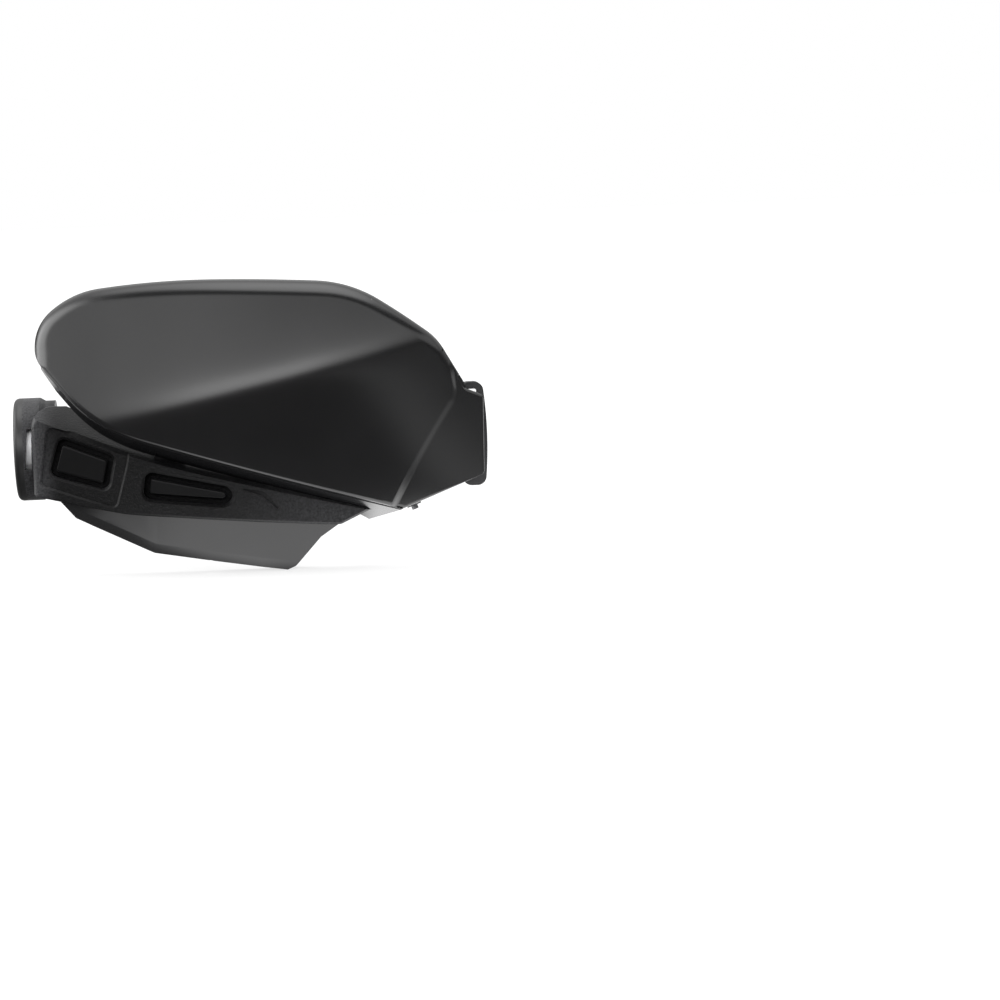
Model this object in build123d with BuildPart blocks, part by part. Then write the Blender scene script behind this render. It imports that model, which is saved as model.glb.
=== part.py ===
"""Motorcycle hand guard for the right-hand grip, in millimetres.

X runs along the handlebar from its outer end inwards, Y towards the rider and Z up.
The origin is the centre of the seat against which the end of the handlebar is bolted.
"""
import os
from math import hypot, sqrt

from build123d import *

os.makedirs("parts", exist_ok=True)

# General fits
FIT_GAP = 0.3
HOLE_GAP = 0.25
THREAD_GAP = 0.05

# Handlebar
BAR_RADIUS = 11.1
CLAMP_X = 226.0

# Shield skin: an arc in plan with a soft fold along a rising crease
SHIELD_REACH = 92.0
SHIELD_NOSE_X = 140.0
SHIELD_BEND = 250.0
UPPER_LEAN = 0.40
LOWER_LEAN = 0.20
CREASE_OUTER = (54.6, 22.7)
CREASE_INNER = (207.7, 56.7)
CREASE_SOFTNESS = 9.0
SHIELD_WALL = 3.2
RIM_RADIUS = 9.0
RIM_DEPTH = 17.0

# Shield outline in the front view: tangent arcs from the outer tip over the crown to the inner shoulder
TIP = (-9.0, 57.0)
CROWN = ((0.5, 77.3), (28.0, 89.2), (92.3, 92.4), (147.5, 89.8), (181.6, 78.2), (206.0, 60.8), (215.0, 50.5))
SHOULDER_LENGTH = 24.0

# Lower edge of the shield: tangent arcs from a straight seam out to the tip
SEAM_CORNER = (189.8, -36.8)
SEAM_START = (52.1, 5.7)
SEAM_SWEEP = ((29.5, 15.1), (9.2, 31.3), (-4.6, 47.0), (-8.6, 54.7))
SEAM_RUNOUT = 9.0

# Wing: the set-back panel inwards of the step
WING_SETBACK = 2.6
WING_DEPTH = 11.0
WING_WALL = 3.0
WING_NECK = (225.6, 28.2)
WING_TOP = (236.6, 23.4)
WING_FOOT = (236.2, -20.3)
NECK_RADIUS = 5.0
WING_CORNER = 2.5
WING_ROUND = 1.6
STEP_TOP = (218.0, 56.0)
STEP_BEND = (218.6, 25.3)
STEP_FOOT = (179.0, -41.4)
STEP_RADIUS = 20.0
FACET_RUN = (1.0, 1.0, -0.35)

# Backing band under the lower edge of the shield
BAND_WALL = 2.4
BAND_LEG = 12.0
BAND_DROP = 0.8
BAND_DEPTH = 11.2
BAND_SLOPE = 0.5
BAND_END_X = 161.5
BAND_END_GAIN = 1.9
BAND_END_SOFTNESS = 2.0
BAND_TURN = 8.5
BAND_LEG_END_X = 172.0
BAND_TAB_WIDTH = 15.0
BAND_TAB_TOP = 7.0
BAND_TAB_LENGTH = 34.0

# Carrier arm: a channel bent to an arc in plan
ARM_REACH = 73.0
ARM_NOSE_X = 115.0
ARM_BEND = 230.0
ARM_DEPTH = 22.0
ARM_WALL = 3.0
ARM_OUTER_X = -12.5
ARM_CORNER = 6.0
ARM_TOP_RISE = 0.5
ARM_TOP_KNEE = (50.0, -4.4)
ARM_TOP_OUTER_SLOPE = -0.40
ARM_TOP_INNER_SLOPE = -0.258
ARM_TOP_SOFTNESS = 15.0
ARM_TIP = (173.5, -35.9)
ARM_BELLY = ((-20.0, -22.5), (38.0, -33.6), (155.5, -43.7))
ARM_BELLY_RADIUS = 60.0
ARM_HEEL_RADIUS = 4.0
ARM_CEILING = 24.6
ARM_SHOULDER_RADIUS = 11.0
RIB_THICKNESS = 2.4
RIB_XS = (42.0, 106.0, 126.0, 146.0)
HOLLOW_START_X = 4.0
HOLLOW_END_X = 164.0

# Pockets in the face of the arm and the inserts that sit in them
POCKET_DEPTH = 6.0
POCKET_WALL = 2.4
POCKET_CORNER = 4.2
POCKET_CHAMFER = 1.6
MOAT = 3.2
INSERT_SINK = 1.8
INSERT_ROUND = 0.5
OUTER_POCKET = ((3.1, 8.8), (33.4, -2.1), (29.1, -20.6), (-3.4, -12.2))
INNER_POCKET = ((50.2, -10.4), (94.5, -20.0), (98.6, -25.8), (93.0, -30.0), (48.2, -25.5))
POST_RADIUS = 1.75
POST_LENGTH = 7.0
OUTER_POSTS = ((11.0, -5.0), (24.0, -9.5))
INNER_POSTS = ((58.0, -18.0), (84.0, -23.0))
CLIP_RADIUS = 4.2
CLIP_THICKNESS = 0.8
CLIP_STAND = 0.15

# Shallow bay round the outer pocket
BAY = ((-3.2, 13.6), (-8.2, -17.4), (33.0, -30.1), (39.5, -8.0), (43.0, 8.0))
BAY_DEPTH = 1.3
BAY_CORNER = 3.0
BAY_CHAMFER = 1.1

# Shallow step on the face of the arm
HOOK_DEPTH = 0.9
HOOK_ROUND = 0.4
HOOK = ((98.6, -20.6), (113.5, -23.2), (116.8, -26.0), (124.0, -36.2), (115.6, -28.2), (112.6, -25.6))

# Bar-end cup, cap, weight and bolt
CUP_RADIUS = 28.8
CUP_LENGTH = 17.9
CUP_WALL = 4.2
CUP_FLOOR = 5.0
CUP_NECK_RADIUS = 27.0
CUP_NECK_LENGTH = 5.5
CUP_NECK_TAPER = 3.0
WINDOW = ((-15.4, 12.9), (-12.8, 12.9), (-13.4, -9.6), (-17.0, -9.6))
CAP_LENGTH = 5.2
CAP_ROUND = 3.2
CAP_DISH_RADIUS = 21.0
CAP_DISH = 0.6
CAP_DISH_TAPER = 30.0
CAP_WALL = 2.8
SPIGOT_RADIUS = 15.5
SPIGOT_WALL = 2.0
SPIGOT_LENGTH = 4.0
WEIGHT_HEAD_DEPTH = 9.0
BOLT_RADIUS = 4.0
BOLT_HEAD_RADIUS = 6.5
BOLT_HEAD_HEIGHT = 8.0
BOLT_REACH = 32.0
BOLT_RELIEF_RADIUS = 3.3
BOLT_RELIEF_LENGTH = 1.6
SEAT_RECESS_RADIUS = 8.5
SEAT_RECESS = 0.6
BOLT_KEY = 6.0
BOLT_KEY_DEPTH = 4.0
WASHER_RADIUS = 8.0
WASHER_THICKNESS = 1.6

# Lower deflector
DEFLECTOR_STEP = 2.5
DEFLECTOR_LEAN = 0.34
DEFLECTOR_WALL = 2.6
DEFLECTOR_DEPTH = 18.0
LIP_RISE = 5.5
LIP_RUN = 2.2
LIP_BOSS_HEIGHT = 9.0
LIP_BOSS_FLOOR = 1.0
LIP_PAD_RADIUS = 4.6
LIP_PAD_DROP = 5.0
LIP_ACCESS_RADIUS = 4.2
DEFLECTOR_OUTER_X = 2.4
DEFLECTOR_INNER_X = 154.0
DEFLECTOR_EDGE = ((10.2, -36.4), (53.0, -56.4), (125.5, -68.4), (130.0, -66.4), (144.3, -50.4))
DEFLECTOR_SCREW_XS = (38.0, 84.0, 130.0)
DEFLECTOR_SCREW_BACK = 17.0

# Screws that hold the carrier's tongues to the shield
SHIELD_BOSSES = ((64.0, 27.0), (107.0, 13.0), (150.0, -2.0))
BOSS_RADIUS = 4.2
SCREW_RADIUS = 2.0
SCREW_HEAD_RADIUS = 3.6
SCREW_HEAD_HEIGHT = 2.6
SCREW_GRIP = 9.0
SCREW_LIP_GRIP = 7.0
SCREW_KEY = 2.5
SCREW_KEY_DEPTH = 1.6
HEAD_CHAMFER = 0.5
SCREW_WASHER_RADIUS = 5.0
SCREW_WASHER_THICKNESS = 1.0
TONGUE_SET = 6.5
TONGUE_THICKNESS = 3.0
TONGUE_WIDTH = 17.0
TONGUE_TOP = 7.5
TONGUE_ROOT = 2.0
TONGUE_ROUND = 4.0

# Clamp bracket, its cap and bolts
CLAMP_WIDTH = 16.0
CLAMP_WALL = 5.6
CLAMP_SPLIT = 1.0
CLAMP_BOLT_Z = 15.8
CLAMP_EAR = 4.8
CLAMP_EAR_DEPTH = 9.0
CLAMP_ROUND = 1.5
CLAMP_SPOT_RADIUS = 5.2
M5_RADIUS = 2.5
M5_HEAD_RADIUS = 4.25
M5_HEAD_HEIGHT = 5.0
M5_KEY = 4.0
M5_KEY_DEPTH = 2.5
M5_WASHER_RADIUS = 4.6
M5_WASHER_THICKNESS = 0.8
CLAMP_BOLT_GRIP = 8.0
PAD_FRONT = -56.0
PAD_THICKNESS = 4.5
PAD_CENTER = (216.5, -2.0)
PAD_SIZE = (28.0, 28.0)
PAD_CORNER = 5.0
WING_BOSSES = ((209.0, 4.0), (209.0, -10.0))
WING_BOSS_RADIUS = 5.0
WING_BOLT_GRIP = 8.0
BEAM_WIDTH = 11.0
BEAM_HALF_FRONT = 13.5
BEAM_HALF_REAR = 12.0
BEAM_POCKET = 3.2
BEAM_FLANGE = 3.6
BEAM_ROUND = 1.5
HOOP_FRONT = -36.0
HOOP_DEPTH = 11.0
HOOP_SIDE = 2.8
HOOP_LINTEL = 3.8
HOOP_SILL = -19.0
HOOP_ROUND = 2.0
HOOP_LEFT = 225.5
HOOP_RIGHT = 238.2
HOOP_BULGE = 1.8
HOOP_TOP = 29.3
HOOP_BOTTOM = -28.4
HOOP_CORNER = 5.0

# Spring clip on the lower edge of the wing
CLIP_X = 196.0
CLIP_WIDTH = 8.0
CLIP_LENGTH = 9.0
CLIP_SHEET = 0.8
CLIP_PLAY = 0.1
CLIP_SLACK = 1.4
CLIP_BARREL_RADIUS = 1.8
CLIP_BARREL_LENGTH = 2.4

# Working room around the object for cutting shapes
FAR_OUT = -40.0
FAR_IN = 265.0
FAR_DOWN = -90.0
FAR_UP = 120.0
FAR_FRONT = 110.0


def span(start, stop, count):
    """Evenly spaced values from start to stop."""
    return [start + (stop - start) * i / (count - 1) for i in range(count)]


def skin_y(x, z):
    """Depth of the front skin of the shield at a point of the front view."""
    run_x = CREASE_INNER[0] - CREASE_OUTER[0]
    run_z = CREASE_INNER[1] - CREASE_OUTER[1]
    above = ((z - CREASE_OUTER[1]) * run_x - (x - CREASE_OUTER[0]) * run_z) / hypot(run_x, run_z)
    soft = hypot(above, CREASE_SOFTNESS) - CREASE_SOFTNESS
    fold = (UPPER_LEAN - LOWER_LEAN) / 2 * above + (UPPER_LEAN + LOWER_LEAN) / 2 * soft
    return -SHIELD_REACH + (x - SHIELD_NOSE_X) ** 2 / (2 * SHIELD_BEND) + fold


def arm_y(x):
    """Depth of the front face of the carrier arm at a place along the bar."""
    return ARM_BEND - ARM_REACH - sqrt(ARM_BEND**2 - (x - ARM_NOSE_X) ** 2)


def arm_top_z(x, y):
    """Height of the top of the carrier arm, which bends at a knee and rises towards the rear."""
    past = x - ARM_TOP_KNEE[0]
    soft = hypot(past, ARM_TOP_SOFTNESS) - ARM_TOP_SOFTNESS
    slope = (ARM_TOP_OUTER_SLOPE + ARM_TOP_INNER_SLOPE) / 2 * past
    bend = (ARM_TOP_INNER_SLOPE - ARM_TOP_OUTER_SLOPE) / 2 * soft
    return ARM_TOP_KNEE[1] + slope + bend + ARM_TOP_RISE * (y - arm_y(x))


def belly_z(x):
    """Height of the lower edge of the carrier arm, taken along its two straight stretches."""
    outer, knee, heel = ARM_BELLY
    start, stop = (outer, knee) if x < knee[0] else (knee, heel)
    return start[1] + (stop[1] - start[1]) * (x - start[0]) / (stop[0] - start[0])


def deflector_y(x, z):
    """Depth of the front face of the lower deflector, which leans back as it goes down."""
    return arm_y(x) + DEFLECTOR_STEP + DEFLECTOR_LEAN * (belly_z(x) - z)


def formula_skin(depth):
    """A smooth face through the depths that a formula gives over the front view."""
    return Face.make_surface_from_array_of_points(
        [[(x, depth(x, z), z) for z in span(FAR_DOWN, FAR_UP, 24)] for x in span(FAR_OUT, FAR_IN, 16)],
        tol=0.02,
    )


def between(outline, front, back):
    """The body that fills a front-view outline from a front skin to a back skin."""
    with BuildPart() as body:
        extrude(outline, amount=FAR_FRONT, dir=(0, -1, 0))
        split(bisect_by=front, keep=Keep.BOTTOM)
        split(bisect_by=back, keep=Keep.TOP)
    return body.part


shield_skin = formula_skin(skin_y)


def skin_at(step_back):
    """The front skin of the shield, moved straight back."""
    return Pos(0, step_back, 0) * shield_skin


# Outlines of the shield in the front view
with BuildSketch(Plane.XZ) as field_outline:
    with BuildLine() as field_edge:
        arc = TangentArc(TIP, CROWN[0], tangent=(0, 1))
        for start, stop in zip(CROWN, CROWN[1:]):
            arc = TangentArc(start, stop, tangent=arc % 1)
        shoulder = PolarLine(CROWN[-1], SHOULDER_LENGTH, direction=arc % 1)
        Polyline(shoulder @ 1, (SEAM_CORNER[0], FAR_DOWN), (TIP[0], FAR_DOWN), TIP)
    make_face()

with BuildLine() as seam:
    straight = Line(SEAM_CORNER, SEAM_START)
    arc = straight
    for start, stop in zip((SEAM_START, *SEAM_SWEEP), SEAM_SWEEP):
        arc = TangentArc(start, stop, tangent=arc % 1)
    runout = PolarLine(SEAM_SWEEP[-1], SEAM_RUNOUT, direction=arc % 1)

with BuildSketch(Plane.XZ) as below_seam:
    with BuildLine():
        add(seam.line)
        Polyline(runout @ 1, (FAR_OUT, FAR_UP), (FAR_OUT, FAR_DOWN), (FAR_IN, FAR_DOWN),
                 (FAR_IN, WING_FOOT[1]), WING_FOOT, SEAM_CORNER)
    make_face()

with BuildSketch(Plane.XZ) as wing_outline:
    with BuildLine():
        Polyline(STEP_FOOT, (STEP_BEND[0] - WING_DEPTH, STEP_BEND[1]), CROWN[-1], WING_NECK, WING_TOP,
                 WING_FOOT, SEAM_CORNER, STEP_FOOT)
    make_face()
    fillet(wing_outline.vertices().sort_by_distance(WING_NECK)[0], NECK_RADIUS)
    fillet(wing_outline.vertices().group_by(Axis.X)[-1], WING_CORNER)
    add(below_seam.sketch_local, mode=Mode.SUBTRACT)


def to_front_plane(point):
    """A point of the step, carried along the slant of its facet to the plane in front of the shield."""
    lift = FAR_FRONT + skin_y(*point)
    return (point[0] - FACET_RUN[0] * lift, point[1] - FACET_RUN[2] * lift)


# The step: everything inwards of it is cut back along a slanted facet
with BuildPart() as step_cutter:
    with BuildSketch(Plane.XZ.offset(FAR_FRONT)):
        with BuildLine():
            corners = [to_front_plane(point) for point in (STEP_TOP, STEP_BEND, STEP_FOOT)]
            step = FilletPolyline(*corners, radius=STEP_RADIUS)
            Polyline(step @ 1, ((step @ 1).X, 2 * FAR_DOWN), (FAR_IN, 2 * FAR_DOWN), (FAR_IN, 2 * FAR_UP),
                     ((step @ 0).X, 2 * FAR_UP), step @ 0)
        make_face()
    extrude(amount=2 * FAR_FRONT, dir=FACET_RUN)


def rolled_field(inset, back):
    """The crowned field of the shield with its rolled rim, shrunk by an inset at the rim and the skin."""
    outline = field_outline.sketch
    if inset:
        outline = offset(outline, -inset, mode=Mode.PRIVATE)
    with BuildPart() as body:
        add(between(outline, skin_at(inset), skin_at(back)))
        front = body.faces().sort_by(Axis.Y)[0]
        crown = front.edges().filter_by(lambda e: e.center().Z > CROWN[-1][1] - inset)
        flank = front.edges().filter_by(lambda e: e.center().X < SEAM_SWEEP[1][0]) - crown
        fillet(crown + flank, RIM_RADIUS - inset)
    return body.part


wing_room = offset(wing_outline.sketch, -WING_WALL)
wing_clearance = offset(wing_outline.sketch, FIT_GAP)

with BuildPart() as wing_block:
    add(between(wing_outline.sketch, skin_at(WING_SETBACK), skin_at(WING_SETBACK + WING_DEPTH)))
    wing_front = wing_block.faces().sort_by(Axis.Y)[0]
    fillet(wing_front.edges().filter_by(lambda e: e.center().X > STEP_BEND[0]), WING_ROUND)


def boss(place, radius, end_y, skin):
    """A round boss from a skin back to a flat end."""
    with BuildPart() as post:
        with BuildSketch(Plane.XZ.offset(-end_y)):
            with Locations(place):
                Circle(radius)
        extrude(amount=FAR_FRONT)
        split(bisect_by=skin, keep=Keep.BOTTOM)
    return post.part


def tongue_y(x):
    """Depth of the front face of a tongue of the carrier."""
    return arm_y(x) + TONGUE_SET


# Shield: rolled field, set-back wing and the bosses behind them
with BuildPart() as main_shield:
    add(rolled_field(0, RIM_DEPTH))
    add(rolled_field(SHIELD_WALL, 2 * RIM_DEPTH), mode=Mode.SUBTRACT)
    add(step_cutter.part, mode=Mode.SUBTRACT)
    extrude(below_seam.sketch, amount=FAR_FRONT, dir=(0, -1, 0), mode=Mode.SUBTRACT)
    add(wing_block.part)
    add(between(wing_room, skin_at(WING_SETBACK + WING_WALL), skin_at(2 * RIM_DEPTH)), mode=Mode.SUBTRACT)
    for place in SHIELD_BOSSES:
        add(boss(place, BOSS_RADIUS, tongue_y(place[0]), skin_at(SHIELD_WALL / 2)))
        with BuildSketch(Plane.XZ.offset(-tongue_y(place[0]))):
            with Locations(place):
                Circle(SCREW_RADIUS + THREAD_GAP)
        extrude(amount=SCREW_GRIP, mode=Mode.SUBTRACT)
    for place in WING_BOSSES:
        add(boss(place, WING_BOSS_RADIUS, PAD_FRONT, skin_at(WING_SETBACK + WING_WALL / 2)))
        with BuildSketch(Plane.XZ.offset(-PAD_FRONT)):
            with Locations(place):
                Circle(M5_RADIUS + THREAD_GAP)
        extrude(amount=WING_BOLT_GRIP, mode=Mode.SUBTRACT)
main_shield.part.label = "main_shield"
export_step(main_shield.part, "parts/main_shield.step")


# Backing band: a leg behind the shield and a flange that slopes back under its lower edge
band_set = SHIELD_WALL + FIT_GAP
flat_room = offset(field_outline.sketch_local, -RIM_RADIUS)

with BuildSketch(Plane.XZ) as leg_outline:
    with Locations((0, BAND_LEG)):
        add(below_seam.sketch_local)
    with Locations(*[(x, z + BAND_TAB_TOP) for x, z in SHIELD_BOSSES]):
        Rectangle(BAND_TAB_WIDTH, BAND_TAB_LENGTH, align=(Align.CENTER, Align.MAX))
    with Locations((0, -BAND_DROP)):
        add(below_seam.sketch_local, mode=Mode.SUBTRACT)
    add(flat_room, mode=Mode.INTERSECT)
    with Locations((BAND_LEG_END_X, 0)):
        Rectangle(FAR_IN, 4 * FAR_UP, align=(Align.MAX, Align.CENTER), mode=Mode.INTERSECT)
    with Locations(*SHIELD_BOSSES):
        Circle(BOSS_RADIUS + HOLE_GAP, mode=Mode.SUBTRACT)

seam_wire = seam.wires()[0]


def flange_line(lift):
    """Points of the sloping flange where it would cross the plane in front of the shield."""
    points = []
    for point in [seam_wire.position_at(t) for t in span(0, 1, 24)]:
        reach = FAR_FRONT + skin_y(point.X, point.Y) + band_set
        points.append((point.X, point.Y - BAND_DROP + BAND_SLOPE * reach + lift))
    return points


def band_y(x, z):
    """Depth of the rear edge of the flange, which lies further back towards the inner end."""
    past = x - BAND_END_X
    return skin_y(x, z) + band_set + BAND_DEPTH + BAND_END_GAIN * (past + hypot(past, BAND_END_SOFTNESS)) / 2


seam_end = Pos(*SEAM_SWEEP[-1])

with BuildSketch(Plane.XZ) as beyond_band:
    with Locations(seam_end * Rot(0, 0, -BAND_TURN) * seam_end.inverse()):
        add(below_seam.sketch_local)

wing_slope = (WING_FOOT[1] - SEAM_CORNER[1]) / (WING_FOOT[0] - SEAM_CORNER[0])

with BuildSketch(Plane.XZ) as below_wing_line:
    with BuildLine():
        Polyline((FAR_OUT, SEAM_CORNER[1] + wing_slope * (FAR_OUT - SEAM_CORNER[0])), SEAM_CORNER, WING_FOOT,
                 (WING_FOOT[0], 2 * FAR_DOWN), (FAR_OUT, 2 * FAR_DOWN), close=True)
    make_face()


# Carrier arm: an arc in plan between a sloping top and a bent belly
arm_top_skin = Face.make_surface_from_array_of_points(
    [[(x, y, arm_top_z(x, y)) for y in span(-FAR_FRONT, 0, 12)] for x in span(FAR_OUT, FAR_IN, 40)],
    tol=0.02,
)


def arc_ring(front, back):
    """A standing ring wall that follows the arc of the arm between two depths behind its face."""
    with BuildPart() as ring:
        with BuildSketch(Plane.XY.offset(FAR_DOWN)):
            with Locations((ARM_NOSE_X, ARM_BEND - ARM_REACH)):
                Circle(ARM_BEND - front)
                Circle(ARM_BEND - back, mode=Mode.SUBTRACT)
        extrude(amount=FAR_UP - FAR_DOWN)
    return ring.part


def arm_block(inset):
    """The arm without its hollow, shrunk by an inset at face, top and belly, or grown by a negative one."""
    knee, heel = [(x, z + inset) for x, z in ARM_BELLY[1:]]
    shoulder = (ARM_OUTER_X + inset, ARM_CEILING - inset)
    with BuildPart() as body:
        with BuildSketch(Plane.XZ) as side:
            with BuildLine():
                Polyline(shoulder, (ARM_OUTER_X + inset, belly_z(ARM_OUTER_X) + inset), knee, heel,
                         (ARM_TIP[0] - inset, ARM_TIP[1]), (ARM_TIP[0] - inset, ARM_CEILING - inset),
                         close=True)
            make_face()
            fillet(side.vertices().sort_by_distance(shoulder)[0], ARM_SHOULDER_RADIUS - inset)
            fillet(side.vertices().sort_by_distance(knee)[0], ARM_BELLY_RADIUS)
            fillet(side.vertices().sort_by_distance(heel)[0], ARM_HEEL_RADIUS)
        extrude(amount=FAR_FRONT)
        add(arc_ring(inset, ARM_DEPTH + inset), mode=Mode.INTERSECT)
        split(bisect_by=Pos(0, 0, -inset * hypot(1, ARM_TOP_RISE)) * arm_top_skin, keep=Keep.BOTTOM)
    return body.part


def arc_slab(outline, front, back):
    """The body that fills a front-view outline between two depths behind the face of the arm."""
    with BuildPart() as body:
        extrude(outline, amount=FAR_FRONT, dir=(0, -1, 0))
        add(arc_ring(front, back), mode=Mode.INTERSECT)
    return body.part


def rounded_outline(corners, radius):
    """A front-view outline through corners that are all rounded alike."""
    with BuildSketch(Plane.XZ) as outline:
        with BuildLine():
            Polyline(*corners, close=True)
        make_face()
        fillet(outline.vertices(), radius)
    return outline.sketch


def mouth_edges(body, outline, depth):
    """Edges of a body on an outline of the front view, at a depth behind the face of the arm."""
    box = outline.bounding_box()
    center_y = ARM_BEND - ARM_REACH

    def on_mouth(edge):
        middle = edge @ 0.5
        inside = box.min.X - 0.1 < middle.X < box.max.X + 0.1 and box.min.Z - 0.1 < middle.Z < box.max.Z + 0.1
        return inside and abs(hypot(middle.X - ARM_NOSE_X, middle.Y - center_y) + depth - ARM_BEND) < 0.05

    return body.edges().filter_by(on_mouth)


def post_plane(x, z):
    """The plane on the floor of a pocket, square to the floor and facing its back."""
    floor = ARM_BEND - POCKET_DEPTH
    center_y = ARM_BEND - ARM_REACH
    y = center_y - sqrt(floor**2 - (x - ARM_NOSE_X) ** 2)
    return Plane(origin=(x, y, z), x_dir=(0, 0, 1), z_dir=(ARM_NOSE_X - x, center_y - y, 0))


pockets = [rounded_outline(corners, POCKET_CORNER) for corners in (OUTER_POCKET, INNER_POCKET)]
pocket_housings = [offset(pocket, POCKET_WALL) for pocket in pockets]
plate_outlines = [offset(pocket, -MOAT) for pocket in pockets]
bay = rounded_outline(BAY, BAY_CORNER)
hook = rounded_outline(HOOK, HOOK_ROUND)

with BuildPart() as hollow:
    add(arm_block(ARM_WALL))
    with BuildSketch(Plane.XZ):
        with Locations((HOLLOW_START_X, 0)):
            Rectangle(HOLLOW_END_X - HOLLOW_START_X, 4 * FAR_UP, align=(Align.MIN, Align.CENTER))
        with Locations(*[(x, 0) for x in RIB_XS]):
            Rectangle(RIB_THICKNESS, 4 * FAR_UP, mode=Mode.SUBTRACT)
    extrude(amount=FAR_FRONT, mode=Mode.INTERSECT)
    for housing in pocket_housings:
        add(arc_slab(housing, -1, POCKET_DEPTH + POCKET_WALL), mode=Mode.SUBTRACT)
    for x in DEFLECTOR_SCREW_XS:
        with BuildSketch(Plane.XY.offset(belly_z(x) + LIP_BOSS_HEIGHT)):
            with Locations((x, arm_y(x) + DEFLECTOR_SCREW_BACK)):
                Circle(BOSS_RADIUS)
        extrude(amount=-2 * LIP_BOSS_HEIGHT, mode=Mode.SUBTRACT)

with BuildPart() as carrier:
    add(arm_block(0))
    corner = carrier.edges().filter_by(Axis.Z).group_by(Axis.X)[0].sort_by(Axis.Y)[0]
    fillet(corner, ARM_CORNER)
    add(arc_slab(bay, -1, BAY_DEPTH), mode=Mode.SUBTRACT)
    chamfer(mouth_edges(carrier.part, bay, 0), BAY_CHAMFER)
    for pocket, depth in zip(pockets, (BAY_DEPTH, 0)):
        add(arc_slab(pocket, -1, POCKET_DEPTH), mode=Mode.SUBTRACT)
        chamfer(mouth_edges(carrier.part, pocket, depth), POCKET_CHAMFER)
    with BuildSketch(Plane.XY):
        with BuildLine():
            Polyline((-CUP_LENGTH, 0), (-CUP_LENGTH, CUP_RADIUS),
                     (-CUP_NECK_LENGTH - CUP_NECK_TAPER, CUP_RADIUS), (-CUP_NECK_LENGTH, CUP_NECK_RADIUS),
                     (0, CUP_NECK_RADIUS), (0, 0), close=True)
        make_face()
    revolve(axis=Axis.X)
    add(hollow.part, mode=Mode.SUBTRACT)
    add(arc_slab(hook, -1, HOOK_DEPTH), mode=Mode.SUBTRACT)
    for place in OUTER_POSTS + INNER_POSTS:
        with BuildSketch(post_plane(*place)):
            Circle(POST_RADIUS + HOLE_GAP)
        extrude(amount=2 * POCKET_WALL, mode=Mode.SUBTRACT)
    with BuildSketch(Plane.YZ.offset(-CUP_LENGTH)):
        Circle(CUP_RADIUS - CUP_WALL)
    extrude(amount=CUP_LENGTH - CUP_FLOOR, mode=Mode.SUBTRACT)
    with BuildSketch(Plane.YZ):
        Circle(BOLT_RADIUS + HOLE_GAP)
    extrude(amount=-CUP_LENGTH, mode=Mode.SUBTRACT)
    with BuildSketch(Plane.YZ):
        Circle(SEAT_RECESS_RADIUS)
    extrude(amount=-SEAT_RECESS, mode=Mode.SUBTRACT)
    with BuildSketch(Plane.XZ):
        with BuildLine():
            Polyline(*WINDOW, close=True)
        make_face()
    extrude(amount=FAR_FRONT, mode=Mode.SUBTRACT)
    for x, z in SHIELD_BOSSES:
        root_z = arm_top_z(x + TONGUE_WIDTH / 2, tongue_y(x)) - TONGUE_ROOT
        with BuildSketch(Plane.XZ.offset(-tongue_y(x))) as tongue:
            with Locations((x, root_z)):
                Rectangle(TONGUE_WIDTH, z + TONGUE_TOP - root_z, align=(Align.CENTER, Align.MIN))
            fillet(tongue.vertices().group_by(Axis.Y)[-1], TONGUE_ROUND)
            with Locations((x, z)):
                Circle(SCREW_RADIUS + HOLE_GAP, mode=Mode.SUBTRACT)
        extrude(amount=-TONGUE_THICKNESS)
    for x in DEFLECTOR_SCREW_XS:
        with BuildSketch(Plane.XY.offset(belly_z(x) + LIP_BOSS_HEIGHT - LIP_BOSS_FLOOR)):
            with Locations((x, arm_y(x) + DEFLECTOR_SCREW_BACK)):
                Circle(SCREW_RADIUS + THREAD_GAP)
        extrude(amount=-2 * LIP_BOSS_HEIGHT, mode=Mode.SUBTRACT)
carrier.part.label = "carrier"
export_step(carrier.part, "parts/carrier.step")

with BuildPart() as under_band:
    with BuildSketch(Plane.XZ.offset(FAR_FRONT)):
        with BuildLine():
            low = Spline(*flange_line(0))
            high = Spline(*flange_line(BAND_WALL * hypot(1, BAND_SLOPE)))
            Line(low @ 0, high @ 0)
            Line(low @ 1, high @ 1)
        make_face()
    extrude(amount=2 * FAR_FRONT, dir=(0, 1, -BAND_SLOPE))
    split(bisect_by=skin_at(band_set), keep=Keep.BOTTOM)
    split(bisect_by=formula_skin(band_y), keep=Keep.TOP)
    extrude(wing_clearance, amount=FAR_FRONT, dir=(0, -1, 0), mode=Mode.SUBTRACT)
    extrude(below_wing_line.sketch, amount=FAR_FRONT, dir=(0, -1, 0), mode=Mode.SUBTRACT)
    add(between(leg_outline.sketch, skin_at(band_set), skin_at(band_set + BAND_WALL)))
    add(rolled_field(band_set, 4 * RIM_DEPTH), mode=Mode.INTERSECT)
    extrude(beyond_band.sketch, amount=FAR_FRONT, dir=(0, -1, 0), mode=Mode.SUBTRACT)
    add(arm_block(-FIT_GAP), mode=Mode.SUBTRACT)
    for x, z in SHIELD_BOSSES:
        with BuildSketch(Plane.XY.offset(FAR_DOWN)):
            with Locations((x, tongue_y(x) - FIT_GAP)):
                Rectangle(TONGUE_WIDTH + 2 * FIT_GAP, FAR_FRONT, align=(Align.CENTER, Align.MIN))
        extrude(amount=FAR_UP - FAR_DOWN, mode=Mode.SUBTRACT)
under_band.part.label = "under_band"
export_step(under_band.part, "parts/under_band.step")


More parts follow.
